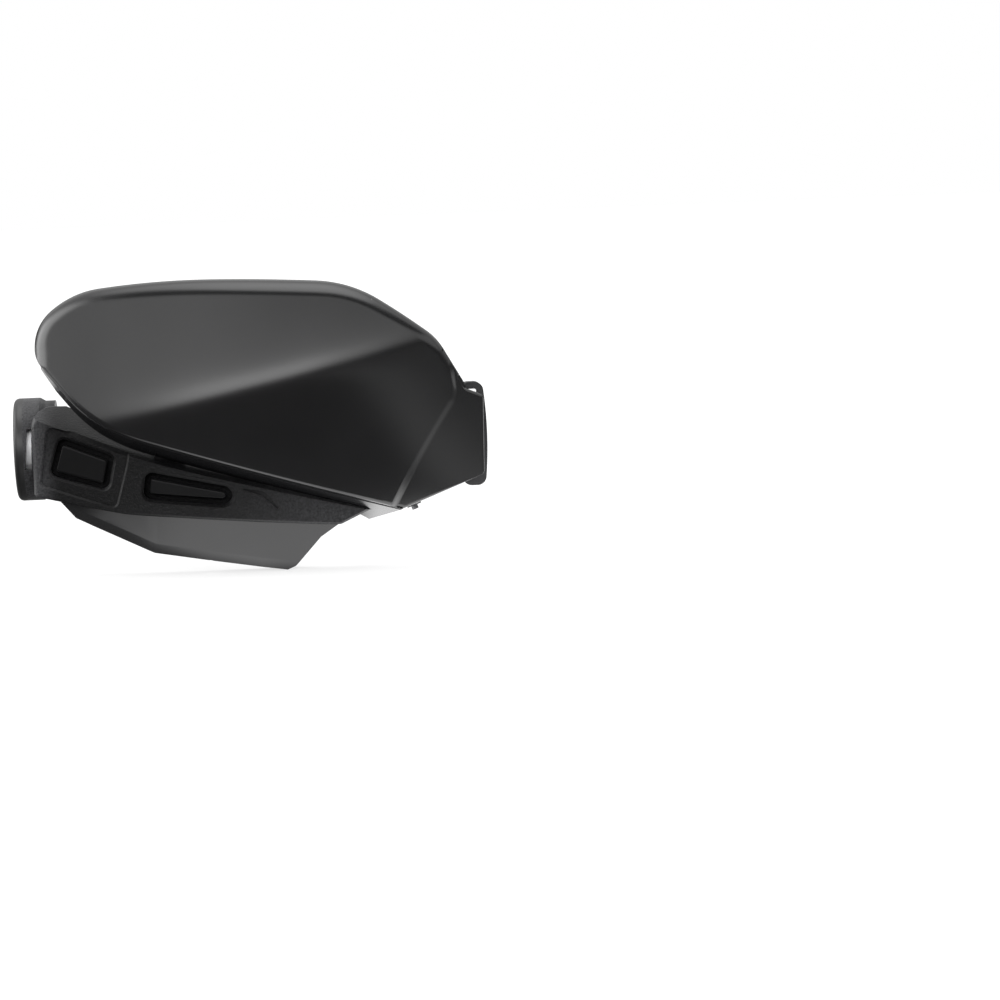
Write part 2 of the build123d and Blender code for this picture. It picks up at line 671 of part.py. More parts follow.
def insert_plate(outline, posts):
    """A plate that lies in a pocket with two posts through its floor."""
    with BuildPart() as plate:
        add(arc_slab(outline, INSERT_SINK, POCKET_DEPTH))
        rim = plate.faces().sort_by(Axis.Y)[0].edges()
        fillet(rim, INSERT_ROUND)
        for place in posts:
            with BuildSketch(post_plane(*place).offset(-INSERT_SINK)):
                Circle(POST_RADIUS)
            extrude(amount=INSERT_SINK + POST_LENGTH)
    return plate.part


with BuildPart() as outer_insert:
    add(insert_plate(plate_outlines[0], OUTER_POSTS))
outer_insert.part.label = "outer_insert"
export_step(outer_insert.part, "parts/outer_insert.step")

with BuildPart() as inner_insert:
    add(insert_plate(plate_outlines[1], INNER_POSTS))
inner_insert.part.label = "inner_insert"
export_step(inner_insert.part, "parts/inner_insert.step")

with BuildPart() as insert_clips:
    for place in OUTER_POSTS + INNER_POSTS:
        with BuildSketch(post_plane(*place).offset(POCKET_WALL + CLIP_STAND)):
            Circle(CLIP_RADIUS)
            Circle(POST_RADIUS, mode=Mode.SUBTRACT)
        extrude(amount=CLIP_THICKNESS)
insert_clips.part.label = "insert_clips"
export_step(insert_clips.part, "parts/insert_clips.step")

# Lower deflector: a hollow lip under the belly of the arm
deflector_skin = formula_skin(deflector_y)

with BuildSketch(Plane.XZ) as deflector_outline:
    with BuildLine():
        Polyline((DEFLECTOR_OUTER_X, belly_z(DEFLECTOR_OUTER_X) - FIT_GAP), *DEFLECTOR_EDGE,
                 (DEFLECTOR_INNER_X, belly_z(DEFLECTOR_INNER_X) - FIT_GAP),
                 (ARM_BELLY[1][0], ARM_BELLY[1][1] - FIT_GAP), close=True)
    make_face()
    fillet(deflector_outline.vertices().sort_by_distance(ARM_BELLY[1])[0], ARM_BELLY_RADIUS)

deflector_room = offset(deflector_outline.sketch, -DEFLECTOR_WALL)


def lip_skin(start, stop):
    """The facet along one stretch of the lower edge, which runs back from the face towards that edge."""
    run_x = stop[0] - start[0]
    run_z = stop[1] - start[1]

    def depth(x, z):
        above = ((z - start[1]) * run_x - (x - start[0]) * run_z) / hypot(run_x, run_z)
        return deflector_y(x, z) + LIP_RUN * (1 - above / LIP_RISE)

    return formula_skin(depth)


with BuildPart() as lower_deflector:
    add(between(deflector_outline.sketch, deflector_skin, Pos(0, DEFLECTOR_DEPTH, 0) * deflector_skin))
    for start, stop in zip(DEFLECTOR_EDGE[:2], DEFLECTOR_EDGE[1:]):
        add(Solid.extrude(lip_skin(start, stop), (0, -FAR_FRONT, 0)), mode=Mode.SUBTRACT)
    add(between(deflector_room, Pos(0, DEFLECTOR_WALL, 0) * deflector_skin,
                Pos(0, 2 * DEFLECTOR_DEPTH, 0) * deflector_skin), mode=Mode.SUBTRACT)
    for x in DEFLECTOR_SCREW_XS:
        place = (x, arm_y(x) + DEFLECTOR_SCREW_BACK)
        with BuildSketch(Plane.XY.offset(belly_z(x) - LIP_PAD_DROP)):
            with Locations(place):
                Circle(LIP_PAD_RADIUS)
        extrude(amount=LIP_PAD_DROP - DEFLECTOR_WALL / 2)
        with BuildSketch(Plane.XY.offset(belly_z(x))):
            with Locations(place):
                Circle(SCREW_RADIUS + HOLE_GAP)
        extrude(amount=-LIP_PAD_DROP, both=True, mode=Mode.SUBTRACT)
        with BuildSketch(Plane.XY.offset(belly_z(x) - LIP_PAD_DROP)):
            with Locations(place):
                Circle(LIP_ACCESS_RADIUS)
        extrude(amount=FAR_DOWN, mode=Mode.SUBTRACT)
lower_deflector.part.label = "lower_deflector"
export_step(lower_deflector.part, "parts/lower_deflector.step")


def screw(seat, radius, head_radius, head_height, length, key, key_depth):
    """A socket screw on a plane: head on the side the plane faces, shank on the other."""
    with BuildPart() as body:
        with BuildSketch(seat):
            Circle(head_radius)
        extrude(amount=head_height)
        chamfer(body.faces().sort_by(lambda f: seat.to_local_coords(f).center().Z)[-1].edges(), HEAD_CHAMFER)
        with BuildSketch(seat):
            Circle(radius)
        extrude(amount=-length)
        with BuildSketch(seat.offset(head_height)):
            RegularPolygon(key / 2, 6, major_radius=False)
        extrude(amount=-key_depth, mode=Mode.SUBTRACT)
    return body.part


def washer(seat, radius, hole, thickness):
    """A flat washer that lies on a plane."""
    with BuildPart() as body:
        with BuildSketch(seat):
            Circle(radius)
            Circle(hole, mode=Mode.SUBTRACT)
        extrude(amount=thickness)
    return body.part


def rear_plane(x, y, z):
    """A plane at a point, facing the rider."""
    return Plane(origin=(x, y, z), x_dir=(1, 0, 0), z_dir=(0, 1, 0))


# Screws of the deflector, driven upwards through its pads
with BuildPart() as deflector_screws:
    for x in DEFLECTOR_SCREW_XS:
        seat = Plane(origin=(x, arm_y(x) + DEFLECTOR_SCREW_BACK, belly_z(x) - LIP_PAD_DROP),
                     x_dir=(1, 0, 0), z_dir=(0, 0, -1))
        add(screw(seat, SCREW_RADIUS, SCREW_HEAD_RADIUS, SCREW_HEAD_HEIGHT, LIP_PAD_DROP + SCREW_LIP_GRIP,
                  SCREW_KEY, SCREW_KEY_DEPTH))
deflector_screws.part.label = "deflector_screws"
export_step(deflector_screws.part, "parts/deflector_screws.step")

# Screws and washers of the tongues
with BuildPart() as shield_washers:
    for x, z in SHIELD_BOSSES:
        add(washer(rear_plane(x, tongue_y(x) + TONGUE_THICKNESS, z), SCREW_WASHER_RADIUS,
                   SCREW_RADIUS + HOLE_GAP, SCREW_WASHER_THICKNESS))
shield_washers.part.label = "shield_washers"
export_step(shield_washers.part, "parts/shield_washers.step")

tongue_stack = TONGUE_THICKNESS + SCREW_WASHER_THICKNESS

with BuildPart() as shield_screws:
    for x, z in SHIELD_BOSSES:
        add(screw(rear_plane(x, tongue_y(x) + tongue_stack, z), SCREW_RADIUS, SCREW_HEAD_RADIUS,
                  SCREW_HEAD_HEIGHT, tongue_stack + SCREW_GRIP - FIT_GAP, SCREW_KEY, SCREW_KEY_DEPTH))
shield_screws.part.label = "shield_screws"
export_step(shield_screws.part, "parts/shield_screws.step")

# Bar end: weight in the cup, bolt and washer in the weight, cap over them
weight_face = -CUP_LENGTH + FIT_GAP
weight_floor = weight_face + WEIGHT_HEAD_DEPTH

with BuildPart() as bar_end_weight:
    with BuildSketch(Plane.YZ.offset(weight_face)):
        Circle(CUP_RADIUS - CUP_WALL - FIT_GAP)
        Circle(BOLT_RADIUS + HOLE_GAP, mode=Mode.SUBTRACT)
    extrude(amount=-weight_face - CUP_FLOOR)
    chamfer(bar_end_weight.edges().group_by(Axis.X)[0].sort_by(SortBy.RADIUS)[-1], HEAD_CHAMFER)
    with BuildSketch(Plane.YZ.offset(weight_face)):
        Circle(SPIGOT_RADIUS + FIT_GAP)
    extrude(amount=WEIGHT_HEAD_DEPTH, mode=Mode.SUBTRACT)
bar_end_weight.part.label = "bar_end_weight"
export_step(bar_end_weight.part, "parts/bar_end_weight.step")


def outer_plane(x):
    """A plane across the bar axis, facing outwards."""
    return Plane(origin=(x, 0, 0), x_dir=(0, 1, 0), z_dir=(-1, 0, 0))


with BuildPart() as bar_end_washer:
    add(washer(outer_plane(weight_floor), WASHER_RADIUS, BOLT_RADIUS + HOLE_GAP, WASHER_THICKNESS))
bar_end_washer.part.label = "bar_end_washer"
export_step(bar_end_washer.part, "parts/bar_end_washer.step")

with BuildPart() as bar_end_bolt:
    add(screw(outer_plane(weight_floor - WASHER_THICKNESS), BOLT_RADIUS, BOLT_HEAD_RADIUS, BOLT_HEAD_HEIGHT,
              BOLT_REACH - weight_floor + WASHER_THICKNESS, BOLT_KEY, BOLT_KEY_DEPTH))
    with BuildSketch(outer_plane(0)):
        Circle(BOLT_RADIUS + HOLE_GAP)
        Circle(BOLT_RELIEF_RADIUS, mode=Mode.SUBTRACT)
    extrude(amount=BOLT_RELIEF_LENGTH, mode=Mode.SUBTRACT)
bar_end_bolt.part.label = "bar_end_bolt"
export_step(bar_end_bolt.part, "parts/bar_end_bolt.step")

with BuildPart() as bar_end_cap:
    with BuildSketch(outer_plane(-CUP_LENGTH)):
        Circle(CUP_RADIUS)
    extrude(amount=CAP_LENGTH)
    fillet(bar_end_cap.edges().group_by(Axis.X)[0], CAP_ROUND)
    with BuildSketch(outer_plane(-CUP_LENGTH - CAP_LENGTH)):
        Circle(CAP_DISH_RADIUS)
    extrude(amount=-CAP_DISH, taper=CAP_DISH_TAPER, mode=Mode.SUBTRACT)
    with BuildSketch(outer_plane(-CUP_LENGTH)):
        Circle(CUP_RADIUS - CUP_WALL)
    extrude(amount=CAP_LENGTH - CAP_WALL, mode=Mode.SUBTRACT)
    with BuildSketch(outer_plane(-CUP_LENGTH + SPIGOT_LENGTH)):
        Circle(SPIGOT_RADIUS)
        Circle(SPIGOT_RADIUS - SPIGOT_WALL, mode=Mode.SUBTRACT)
    extrude(amount=SPIGOT_LENGTH + CAP_LENGTH - CAP_WALL)
bar_end_cap.part.label = "bar_end_cap"
export_step(bar_end_cap.part, "parts/bar_end_cap.step")

# Inner bracket: pad behind the wing, beam, front half of the clamp and a hoop round them
clamp_start = Plane.YZ.offset(CLAMP_X - CLAMP_WIDTH / 2)


def clamp_half(side):
    """Half of the clamp, on the front (-1) or the rear (1) side of the bar."""
    with BuildSketch(clamp_start) as outline:
        Circle(BAR_RADIUS + CLAMP_WALL)
        Rectangle(2 * CLAMP_EAR_DEPTH, 2 * (CLAMP_BOLT_Z + CLAMP_EAR))
        fillet(outline.vertices().group_by(Axis.Y)[0] + outline.vertices().group_by(Axis.Y)[-1], CLAMP_ROUND)
        Circle(BAR_RADIUS, mode=Mode.SUBTRACT)
        with Locations((side * CLAMP_SPLIT / 2, 0)):
            Rectangle(4 * CLAMP_WIDTH, 8 * CLAMP_WIDTH,
                      align=(Align.MIN if side > 0 else Align.MAX, Align.CENTER), mode=Mode.INTERSECT)
    with BuildPart() as half:
        extrude(outline.sketch, amount=CLAMP_WIDTH, dir=(1, 0, 0))
    return half.part


pad_rear = PAD_FRONT + PAD_THICKNESS

with BuildPart() as clamp_bracket:
    add(clamp_half(-1))
    with BuildSketch(Plane.YZ.offset(CLAMP_X - BEAM_WIDTH / 2)) as beam:
        with BuildLine():
            Polyline((PAD_FRONT, -BEAM_HALF_FRONT), (-BAR_RADIUS - CLAMP_WALL / 2, -BEAM_HALF_REAR),
                     (-BAR_RADIUS - CLAMP_WALL / 2, BEAM_HALF_REAR), (PAD_FRONT, BEAM_HALF_FRONT), close=True)
        make_face()
    extrude(amount=BEAM_WIDTH)
    with BuildSketch(Plane.YZ.offset(CLAMP_X)) as web:
        with BuildLine():
            Polyline((pad_rear + BEAM_FLANGE, -BEAM_HALF_FRONT + BEAM_FLANGE),
                     (-BAR_RADIUS - CLAMP_WALL - BEAM_FLANGE, -BEAM_HALF_REAR + BEAM_FLANGE),
                     (-BAR_RADIUS - CLAMP_WALL - BEAM_FLANGE, BEAM_HALF_REAR - BEAM_FLANGE),
                     (pad_rear + BEAM_FLANGE, BEAM_HALF_FRONT - BEAM_FLANGE), close=True)
        make_face()
        fillet(web.vertices(), BEAM_ROUND)
    for side in (1, -1):
        with BuildSketch(Plane.YZ.offset(CLAMP_X + side * (BEAM_WIDTH / 2 - BEAM_POCKET))):
            add(web.sketch_local)
        extrude(amount=side * BEAM_WIDTH, mode=Mode.SUBTRACT)
    with BuildSketch(Plane.XZ.offset(-PAD_FRONT)):
        with Locations(PAD_CENTER):
            RectangleRounded(*PAD_SIZE, PAD_CORNER)
    extrude(amount=-PAD_THICKNESS)
    with BuildSketch(Plane.XZ.offset(-HOOP_FRONT)) as hoop:
        with BuildLine():
            Line((HOOP_RIGHT, HOOP_TOP), (HOOP_LEFT, HOOP_TOP))
            Line((HOOP_LEFT, HOOP_TOP), (HOOP_LEFT, HOOP_BOTTOM))
            Line((HOOP_LEFT, HOOP_BOTTOM), (HOOP_RIGHT, HOOP_BOTTOM))
            ThreePointArc((HOOP_RIGHT, HOOP_BOTTOM), (HOOP_RIGHT + HOOP_BULGE, (HOOP_TOP + HOOP_BOTTOM) / 2),
                          (HOOP_RIGHT, HOOP_TOP))
        make_face()
        fillet(hoop.vertices(), HOOP_CORNER)
        with Locations((HOOP_LEFT + HOOP_SIDE, HOOP_SILL)):
            RectangleRounded(HOOP_RIGHT - HOOP_LEFT - 2 * HOOP_SIDE, HOOP_TOP - HOOP_LINTEL - HOOP_SILL,
                             HOOP_ROUND, align=Align.MIN, mode=Mode.SUBTRACT)
    extrude(amount=-HOOP_DEPTH)
    with BuildSketch(Plane.XZ.offset(-pad_rear)):
        with Locations(*WING_BOSSES):
            Circle(M5_RADIUS + HOLE_GAP)
    extrude(amount=PAD_THICKNESS, mode=Mode.SUBTRACT)
    with BuildSketch(Plane.XZ):
        with Locations((CLAMP_X, CLAMP_BOLT_Z), (CLAMP_X, -CLAMP_BOLT_Z)):
            Circle(M5_RADIUS + THREAD_GAP)
    extrude(amount=CLAMP_EAR_DEPTH, mode=Mode.SUBTRACT)
clamp_bracket.part.label = "clamp_bracket"
export_step(clamp_bracket.part, "parts/clamp_bracket.step")

with BuildPart() as clamp_cap:
    add(clamp_half(1))
    with BuildSketch(Plane.XZ):
        with Locations((CLAMP_X, CLAMP_BOLT_Z), (CLAMP_X, -CLAMP_BOLT_Z)):
            Circle(M5_RADIUS + HOLE_GAP)
    extrude(amount=-2 * CLAMP_EAR_DEPTH, mode=Mode.SUBTRACT)
    with BuildSketch(Plane.XZ.offset(-CLAMP_EAR_DEPTH)):
        with Locations((CLAMP_X, CLAMP_BOLT_Z), (CLAMP_X, -CLAMP_BOLT_Z)):
            Circle(CLAMP_SPOT_RADIUS)
    extrude(amount=-2 * CLAMP_EAR_DEPTH, mode=Mode.SUBTRACT)
clamp_cap.part.label = "clamp_cap"
export_step(clamp_cap.part, "parts/clamp_cap.step")

with BuildPart() as clamp_washers:
    for z in (CLAMP_BOLT_Z, -CLAMP_BOLT_Z):
        add(washer(rear_plane(CLAMP_X, CLAMP_EAR_DEPTH, z), M5_WASHER_RADIUS, M5_RADIUS + HOLE_GAP,
                   M5_WASHER_THICKNESS))
clamp_washers.part.label = "clamp_washers"
export_step(clamp_washers.part, "parts/clamp_washers.step")

with BuildPart() as clamp_bolts:
    for z in (CLAMP_BOLT_Z, -CLAMP_BOLT_Z):
        seat = rear_plane(CLAMP_X, CLAMP_EAR_DEPTH + M5_WASHER_THICKNESS, z)
        add(screw(seat, M5_RADIUS, M5_HEAD_RADIUS, M5_HEAD_HEIGHT,
                  CLAMP_EAR_DEPTH + M5_WASHER_THICKNESS + CLAMP_BOLT_GRIP, M5_KEY, M5_KEY_DEPTH))
clamp_bolts.part.label = "clamp_bolts"
export_step(clamp_bolts.part, "parts/clamp_bolts.step")

with BuildPart() as bracket_washers:
    for x, z in WING_BOSSES:
        add(washer(rear_plane(x, pad_rear, z), M5_WASHER_RADIUS, M5_RADIUS + HOLE_GAP, M5_WASHER_THICKNESS))
bracket_washers.part.label = "bracket_washers"
export_step(bracket_washers.part, "parts/bracket_washers.step")

with BuildPart() as bracket_bolts:
    for x, z in WING_BOSSES:
        add(screw(rear_plane(x, pad_rear + M5_WASHER_THICKNESS, z), M5_RADIUS, M5_HEAD_RADIUS, M5_HEAD_HEIGHT,
                  PAD_THICKNESS + M5_WASHER_THICKNESS + WING_BOLT_GRIP - FIT_GAP, M5_KEY, M5_KEY_DEPTH))
bracket_bolts.part.label = "bracket_bolts"
export_step(bracket_bolts.part, "parts/bracket_bolts.step")

# Spring clip over the rear edge of the wing's lower skirt
clip_z = SEAM_CORNER[1] + wing_slope * (CLIP_X - SEAM_CORNER[0])
clip_rear = skin_y(CLIP_X, clip_z) + WING_SETBACK + WING_DEPTH + CLIP_SLACK
edge_run = Vector(1, 0, wing_slope).normalized()
clip_plane = Plane(origin=(CLIP_X, clip_rear, clip_z), x_dir=(0, 1, 0), z_dir=edge_run)

with BuildPart() as wing_clip:
    with BuildSketch(clip_plane):
        with Locations((CLIP_SHEET, -CLIP_PLAY - CLIP_SHEET)):
            Rectangle(CLIP_LENGTH + CLIP_SHEET, WING_WALL + 2 * (CLIP_PLAY + CLIP_SHEET),
                      align=(Align.MAX, Align.MIN))
        with Locations((0, -CLIP_PLAY)):
            Rectangle(CLIP_LENGTH, WING_WALL + 2 * CLIP_PLAY,
                      align=(Align.MAX, Align.MIN), mode=Mode.SUBTRACT)
    extrude(amount=CLIP_WIDTH / 2, both=True)
    barrel_plane = Plane(origin=clip_plane.from_local_coords((-CLIP_LENGTH / 2, -CLIP_PLAY - CLIP_SHEET, 0)),
                         x_dir=(0, 1, 0), z_dir=-clip_plane.y_dir)
    with BuildSketch(barrel_plane):
        Circle(CLIP_BARREL_RADIUS)
    extrude(amount=CLIP_BARREL_LENGTH)
wing_clip.part.label = "wing_clip"
export_step(wing_clip.part, "parts/wing_clip.step")
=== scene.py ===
"""Looks of the motorcycle hand guard: smooth moulded skins, finishes, light and camera, in metres."""
import logging
import math
from collections.abc import Sequence
from dataclasses import dataclass
from enum import Enum

import bmesh
import bpy
import numpy as np
from mathutils import Matrix, Vector
from mathutils.kdtree import KDTree


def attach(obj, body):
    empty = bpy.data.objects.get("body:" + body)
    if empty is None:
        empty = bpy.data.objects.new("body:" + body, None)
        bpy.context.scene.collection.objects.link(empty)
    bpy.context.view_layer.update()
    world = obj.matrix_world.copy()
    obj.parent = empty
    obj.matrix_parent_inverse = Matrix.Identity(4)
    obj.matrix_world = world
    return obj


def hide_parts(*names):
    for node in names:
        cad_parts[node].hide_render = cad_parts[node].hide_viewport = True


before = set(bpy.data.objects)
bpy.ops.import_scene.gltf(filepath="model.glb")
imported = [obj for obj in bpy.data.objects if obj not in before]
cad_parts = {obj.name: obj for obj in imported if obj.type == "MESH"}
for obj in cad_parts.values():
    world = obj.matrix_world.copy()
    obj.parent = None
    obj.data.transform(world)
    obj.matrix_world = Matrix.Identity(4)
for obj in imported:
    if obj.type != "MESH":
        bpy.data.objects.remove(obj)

LOG = logging.getLogger("hand_guard")
BODY = "root"
MM = 0.001
TINY = 1e-9
SEARCH_ROUNDS = 60
TO_THE_FRONT = (0.0, -1.0, 0.0)

# Shared by all finishes: mottle, dust, painted shade in gaps, gloss, and the height of the bumps in metres.
MOTTLE_STOPS = (0.3, 0.7)
DUST_SCALE = 62.0
DUST_COLOUR = (0.35, 0.35, 0.35, 1.0)
PAINTED_SHADE_SAMPLES = 8
PAINTED_SHADE_FADE = (0.45, 0.95)
PAINTED_SHADE_SHINE = 0.02
GLOSS_SCALE = 60.0
GLOSS_SPREAD = 0.07
BUMP_HEIGHT = 0.0004

Point = tuple[float, float]
Points = tuple[Point, ...]
Triple = tuple[float, float, float]
Array = np.ndarray
Mesh = bpy.types.Mesh
Object = bpy.types.Object
Tree = bpy.types.NodeTree
Node = bpy.types.Node
Socket = bpy.types.NodeSocket
Inputs = dict[str | int, Socket | float | tuple[float, ...]]


class Relief(Enum):
    """Fine texture of a surface: scale and strength of its bumps, and scale of its mottle, per metre."""

    SMOOTH = (900.0, 0.02, 34.0)
    SATIN = (2600.0, 0.05, 34.0)
    GRAINED = (1100.0, 0.8, 800.0)
    CAST = (1100.0, 0.25, 34.0)
    TURNED = (700.0, 0.08, 34.0)


class Edge(Enum):
    """A stretch of the border of the shield's field, with its number of points."""

    CROWN = 300
    SHOULDER = 12
    STEP = 160
    SEAM = 320
    TIP = 4


class Face(Enum):
    """A face of the arm or of the lip below it whose normals follow a formula."""

    ARM = "arm"
    LIP = "lip"
    OUTER_FACET = "outer facet"
    INNER_FACET = "inner facet"


def add_node(tree: Tree, kind: str, inputs: Inputs, **options: str | int) -> Node:
    """Add a shader node.

    Args:
        tree: Node tree to add to.
        kind: Type of the node, without its first word ShaderNode.
        inputs: For each input, by name or place, a socket to link or a plain value.
        options: Settings of the node, such as its operation.

    Returns:
        The new node.
    """
    made = tree.nodes.new(f"ShaderNode{kind}")
    for option, value in options.items():
        setattr(made, option, value)
    for key, value in inputs.items():
        if isinstance(value, Socket):
            tree.links.new(value, made.inputs[key])
        else:
            made.inputs[key].default_value = value
    return made


def combined(tree: Tree, operation: str, values: Sequence[Socket | float]) -> Socket:
    """Combine values one after the other.

    Args:
        tree: Node tree to add to.
        operation: Name of the operation.
        values: Sockets or plain numbers.

    Returns:
        Socket with the result.
    """
    result = values[0]
    for value in values[1:]:
        result = add_node(tree, "Math", {0: result, 1: value}, operation=operation).outputs[0]
    return result


def ranged(tree: Tree, value: Socket, source: Point, target: Point, way: str = "LINEAR") -> Socket:
    """Carry a value from one range over to another.

    Args:
        tree: Node tree to add to.
        value: Socket with the value.
        source: Ends of its range.
        target: Ends of the new range.
        way: Kind of the passage between them.

    Returns:
        Socket with the new value.
    """
    ends: Inputs = {"From Min": source[0], "From Max": source[1], "To Min": target[0], "To Max": target[1]}
    return add_node(tree, "MapRange", {"Value": value, **ends}, interpolation_type=way).outputs["Result"]


def add_object(name: str, data: bpy.types.ID) -> Object:
    """Put a new object into the scene.

    Args:
        name: Name of the object.
        data: Its mesh or camera.

    Returns:
        The new object.
    """
    made = bpy.data.objects.new(name, data)
    bpy.context.scene.collection.objects.link(made)
    return made


@dataclass(frozen=True)
class Finish:
    """A surface finish that is built as one procedural material.

    Attributes:
        slot: Material slot of the record.
        colour: Linear base colour.
        roughness: Mean roughness.
        relief: Kind of fine texture.
        metallic: 1 for bare metal.
        specular: Specular level of the shader.
        mottle: How far the colour varies over the surface, as a fraction.
        dust: Size of the pale dust specks against their spacing, or 0 for none.
        painted_light_ends: For each end with painted light, two places along the bar, in metres, and how much
            paler the colour is painted at the first.
        painted_shade_reach: Reach of the painted shade in narrow gaps, where the shine is taken away as if
            shade fell there, in metres, or 0 for none.
    """

    slot: str
    colour: Triple
    roughness: float
    relief: Relief
    metallic: float = 0.0
    specular: float = 0.5
    mottle: float = 0.12
    dust: float = 0.0
    painted_light_ends: tuple[Triple, ...] = ()
    painted_shade_reach: float = 0.0

    def material(self) -> bpy.types.Material:
        """Build the node material: uneven colour and gloss, fine bumps, painted light at some ends, and
        painted shade (no shine) in narrow gaps.

        Returns:
            The material.
        """
        made = bpy.data.materials.new(self.slot)
        made.use_nodes = True
        tree = made.node_tree
        tree.nodes.clear()
        place = add_node(tree, "TexCoord", {}).outputs["Object"]
        scale, strength, _ = self.relief.value
        height = self._noise(tree, place, scale, detail=2.0)
        bump = add_node(tree, "Bump", {"Strength": strength, "Distance": BUMP_HEIGHT, "Height": height})
        gloss = (self.roughness * (1 - GLOSS_SPREAD), self.roughness * (1 + GLOSS_SPREAD))
        shine = self.specular
        # Painted shade: ambient occlusion takes the shine away where other surfaces are close by, standing in
        # for the shade in gaps and under the shield.
        if self.painted_shade_reach:
            open_share = add_node(tree, "AmbientOcclusion", {"Distance": self.painted_shade_reach}, samples=PAINTED_SHADE_SAMPLES)
            shine = ranged(tree, open_share.outputs["AO"], PAINTED_SHADE_FADE, (PAINTED_SHADE_SHINE, self.specular))
        shader = add_node(tree, "BsdfPrincipled", {
            "Metallic": self.metallic,
            "Specular IOR Level": shine,
            "Base Color": self._tint(tree, place),
            "Roughness": ranged(tree, self._noise(tree, place, GLOSS_SCALE, detail=3.0), (0.0, 1.0), gloss),
            "Normal": bump.outputs["Normal"],
        })
        add_node(tree, "OutputMaterial", {"Surface": shader.outputs[0]})
        return made

    def _noise(self, tree: Tree, place: Socket, scale: float, detail: float) -> Socket:
        """Add a noise texture.

        Args:
            tree: Node tree to add to.
            place: Socket with the object coordinates.
            scale: Scale per metre.
            detail: Octaves of detail.

        Returns:
            Socket with the noise.
        """
        return add_node(tree, "TexNoise", {"Scale": scale, "Detail": detail, "Vector": place}).outputs["Fac"]

    def _tint(self, tree: Tree, place: Socket) -> Socket:
        """Vary the colour softly, paint light onto its ends as a paler colour and add dust specks.

        Args:
            tree: Node tree to add to.
            place: Socket with the object coordinates.

        Returns:
            Socket with the colour.
        """
        noise = self._noise(tree, place, self.relief.value[2], detail=2.0)
        ramp = add_node(tree, "ValToRGB", {"Fac": noise})
        gains = (1 - self.mottle, 1 + self.mottle)
        for stop, at, gain in zip(ramp.color_ramp.elements, MOTTLE_STOPS, gains):
            stop.position = at
            stop.color = (*[c * gain for c in self.colour], 1)
        colour = ramp.outputs["Color"]
        # Painted light: the colour grows paler towards the ends along the bar, where light falls on them.
        for end in self.painted_light_ends:
            colour = self._painted_lighter_end(tree, place, colour, end)
        if self.dust:
            specks = add_node(tree, "TexVoronoi", {"Scale": DUST_SCALE, "Vector": place})
            near = combined(tree, "LESS_THAN", (specks.outputs["Distance"], self.dust))
            layers: Inputs = {"Factor": near, "A": colour, "B": DUST_COLOUR}
            colour = add_node(tree, "Mix", layers, data_type="RGBA").outputs["Result"]
        return colour

    def _painted_lighter_end(self, tree: Tree, place: Socket, colour: Socket, end: Triple) -> Socket:
        """Paint light onto one end of a piece: its colour is made paler towards that end, where light falls.

        Args:
            tree: Node tree to add to.
            place: Socket with the object coordinates.
            colour: Socket with the colour so far.
            end: Place along the bar where the gain is full, place where it ends, and the gain.

        Returns:
            Socket with the new colour.
        """
        start, stop, gain = end
        along = add_node(tree, "SeparateXYZ", {0: place}).outputs["X"]
        fade = ranged(tree, along, (start, stop), (gain, 1.0), "SMOOTHSTEP")
        return add_node(tree, "VectorMath", {0: colour, "Scale": fade}, operation="SCALE").outputs["Vector"]


SHIELD = Finish("shield_plastic", (0.0095, 0.0095, 0.0099), 0.22, Relief.SATIN, dust=0.012)
BAND = Finish("band_plastic", (0.006, 0.006, 0.0065), 0.22, Relief.SMOOTH, specular=0.7)
# The grained carrier gets painted shade in its narrow gaps and painted light at both ends along the bar.
GRAINED = Finish("grained_plastic", (0.006, 0.006, 0.0063), 0.34, Relief.GRAINED, specular=0.17, mottle=0.35,
                 dust=0.012, painted_light_ends=((-0.012, 0.003, 8.0), (0.15, 0.08, 4.0)), painted_shade_reach=0.03)
INSERT = Finish("insert_plastic", (0.006, 0.006, 0.0063), 0.40, Relief.SATIN, specular=0.12)
CAP = Finish("cap_plastic", (0.014, 0.014, 0.0145), 0.42, Relief.SATIN)
ALLOY = Finish("cast_alloy", (0.03, 0.03, 0.032), 0.5, Relief.CAST)
BRIGHT = Finish("bright_steel", (0.85, 0.85, 0.86), 0.6, Relief.TURNED, metallic=1.0, mottle=0.05)
ZINC = Finish("zinc_steel", (0.55, 0.56, 0.58), 0.35, Relief.TURNED, metallic=1.0, mottle=0.08)
SPRING = Finish("spring_steel", (0.12, 0.12, 0.125), 0.4, Relief.SMOOTH, metallic=1.0)
BLACKED = Finish("black_steel", (0.02, 0.02, 0.021), 0.42, Relief.SMOOTH, metallic=0.4)

NODE_FINISH: dict[str, Finish] = {
    "main_shield": SHIELD,
    "under_band": BAND,
    "carrier": GRAINED,
    "outer_insert": INSERT,
    "inner_insert": INSERT,
    "insert_clips": SPRING,
    "lower_deflector": SHIELD,
    "deflector_screws": BLACKED,
    "bar_end_cap": CAP,
    "bar_end_weight": BRIGHT,
    "bar_end_washer": ZINC,
    "bar_end_bolt": BLACKED,
    "clamp_bracket": ALLOY,
    "clamp_cap": ALLOY,
    "clamp_bolts": BLACKED,
    "clamp_washers": ZINC,
    "bracket_bolts": BLACKED,
    "bracket_washers": ZINC,
    "shield_screws": BLACKED,
    "shield_washers": ZINC,
    "wing_clip": SPRING,
}


def unit(vectors: Array) -> Array:
    """Bring vectors to a length of one.

    Args:
        vectors: One vector or an array of them.

    Returns:
        The vectors at that length.
    """
    return vectors / np.linalg.norm(vectors, axis=-1, keepdims=True)


def area_between(first: Array, second: Array) -> Array:
    """Area that two front-view vectors span, positive where the second lies to the left of the first.

    Args:
        first: One vector or an array of them.
        second: The same.

    Returns:
        The areas.
    """
    return first[..., 0] * second[..., 1] - first[..., 1] * second[..., 0]


